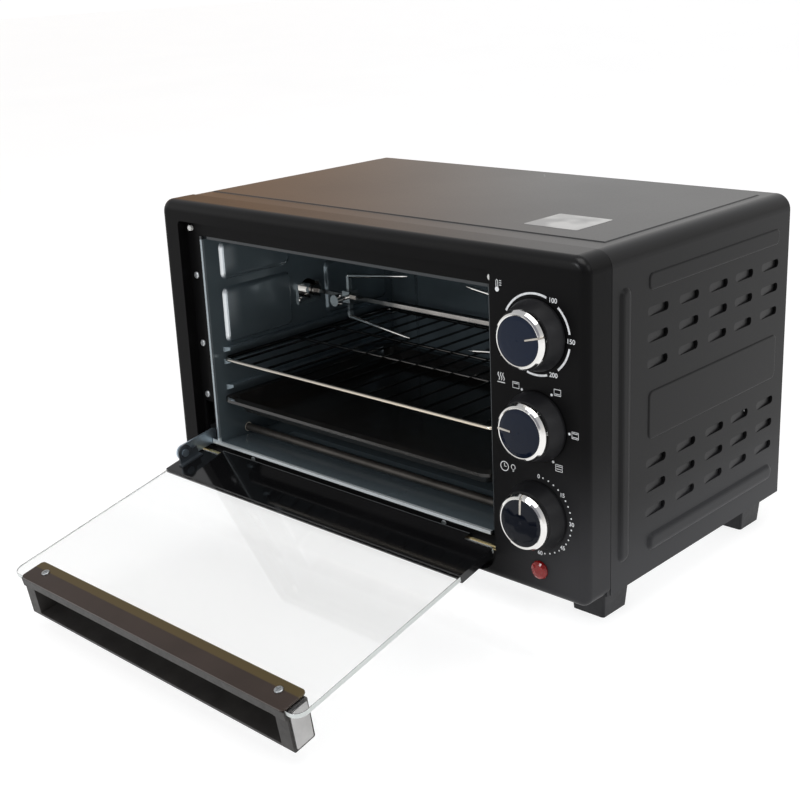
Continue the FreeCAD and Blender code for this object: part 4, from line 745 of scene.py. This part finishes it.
# ------------------------------------------------------------------ soft studio light
world = bpy.data.worlds.new("studio")
scene.world = world
world.use_nodes = True
wt = world.node_tree
wt.nodes.clear()
wo = wt.nodes.new("ShaderNodeOutputWorld")
bg = wt.nodes.new("ShaderNodeBackground")
tc = wt.nodes.new("ShaderNodeTexCoord")
sep = wt.nodes.new("ShaderNodeSeparateXYZ")
ramp = wt.nodes.new("ShaderNodeValToRGB")
wt.links.new(tc.outputs["Generated"], sep.inputs[0])
mr = wt.nodes.new("ShaderNodeMapRange")
mr.inputs["From Min"].default_value = -1
mr.inputs["From Max"].default_value = 1
wt.links.new(sep.outputs[2], mr.inputs["Value"])
wt.links.new(mr.outputs["Result"], ramp.inputs["Fac"])
e = ramp.color_ramp.elements
e[0].position, e[0].color = 0.0, (1.30, 1.30, 1.30, 1)
e[1].position, e[1].color = 1.0, (0.62, 0.63, 0.65, 1)
for pos, col in ((0.49, (1.30, 1.30, 1.30)), (0.53, (1.12, 1.12, 1.12)), (0.60, (1.02, 1.00, 0.98)), (0.68, (0.80, 0.80, 0.80)), (0.80, (0.66, 0.665, 0.68))):
    k = e.new(pos)
    k.color = col + (1,)
# a warm wall far behind, to the left
dot = wt.nodes.new("ShaderNodeVectorMath")
dot.operation = "DOT_PRODUCT"
wt.links.new(tc.outputs["Generated"], dot.inputs[0])
dot.inputs[1].default_value = (math.cos(math.radians(152)), math.sin(math.radians(152)), 0.0)
side = wt.nodes.new("ShaderNodeMapRange")
side.interpolation_type = "SMOOTHSTEP"
side.inputs["From Min"].default_value = 0.885
side.inputs["From Max"].default_value = 0.975
wt.links.new(dot.outputs["Value"], side.inputs["Value"])
low = wt.nodes.new("ShaderNodeMapRange")
low.interpolation_type = "SMOOTHSTEP"
low.inputs["From Min"].default_value = 0.03
low.inputs["From Max"].default_value = 0.12
wt.links.new(sep.outputs[2], low.inputs["Value"])
both = wt.nodes.new("ShaderNodeMath")
both.operation = "MULTIPLY"
wt.links.new(side.outputs["Result"], both.inputs[0])
wt.links.new(low.outputs["Result"], both.inputs[1])
warm = wt.nodes.new("ShaderNodeMix")
warm.data_type = "RGBA"
# it lights and reflects in the oven, and the backdrop itself stays plain
path = wt.nodes.new("ShaderNodeLightPath")
unseen = wt.nodes.new("ShaderNodeMath")
unseen.operation = "SUBTRACT"
unseen.inputs[0].default_value = 1.0
wt.links.new(path.outputs["Is Camera Ray"], unseen.inputs[1])
off = wt.nodes.new("ShaderNodeMath")
off.operation = "MULTIPLY"
wt.links.new(both.outputs[0], off.inputs[0])
wt.links.new(unseen.outputs[0], off.inputs[1])
wt.links.new(off.outputs[0], warm.inputs["Factor"])
ca = [i for i in warm.inputs if i.type == "RGBA"]
wt.links.new(ramp.outputs["Color"], ca[0])
ca[1].default_value = (0.66, 0.29, 0.05, 1)
dot2 = wt.nodes.new("ShaderNodeVectorMath")
dot2.operation = "DOT_PRODUCT"
wt.links.new(tc.outputs["Generated"], dot2.inputs[0])
dot2.inputs[1].default_value = (0.25, -0.80, 0.545)
dimr = wt.nodes.new("ShaderNodeMapRange")
dimr.interpolation_type = "SMOOTHSTEP"
dimr.inputs["From Min"].default_value = 0.80
dimr.inputs["From Max"].default_value = 0.90
wt.links.new(dot2.outputs["Value"], dimr.inputs["Value"])
dim = wt.nodes.new("ShaderNodeMix")
dim.data_type = "RGBA"
wt.links.new(dimr.outputs["Result"], dim.inputs["Factor"])
cb = [i for i in dim.inputs if i.type == "RGBA"]
wt.links.new([o for o in warm.outputs if o.type == "RGBA"][0], cb[0])
cb[1].default_value = (0.34, 0.34, 0.38, 1)
wt.links.new([o for o in dim.outputs if o.type == "RGBA"][0], bg.inputs["Color"])
bg.inputs["Strength"].default_value = 0.80
wt.links.new(bg.outputs["Background"], wo.inputs["Surface"])


def area(name, loc, target, size, power, color=(1, 1, 1), sy=None):
    d = bpy.data.lights.new(name, "AREA")
    d.energy = power
    d.color = color
    d.shape = "RECTANGLE"
    d.size = size
    d.size_y = sy or size
    o = bpy.data.objects.new(name, d)
    scene.collection.objects.link(o)
    o.location = loc
    o.rotation_euler = (Vector(target) - Vector(loc)).to_track_quat("-Z", "Y").to_euler()
    return o


area("key_overhead", (0.5, -0.4, 2.2), (0, 0, 0.1), 1.6, 22, (1.0, 0.99, 0.97))
area("fill_right", (2.0, 0.3, 1.2), (0, 0, 0.15), 1.0, 7, (0.97, 0.98, 1.0))
area("front_soft", (-0.25, -1.9, 0.95), (-0.05, 0.05, 0.12), 0.45, 9, (0.95, 0.98, 1.0))

scene.view_settings.view_transform = "Standard"
scene.view_settings.look = "None"
scene.view_settings.exposure = 0.0
scene.view_settings.gamma = 1.0
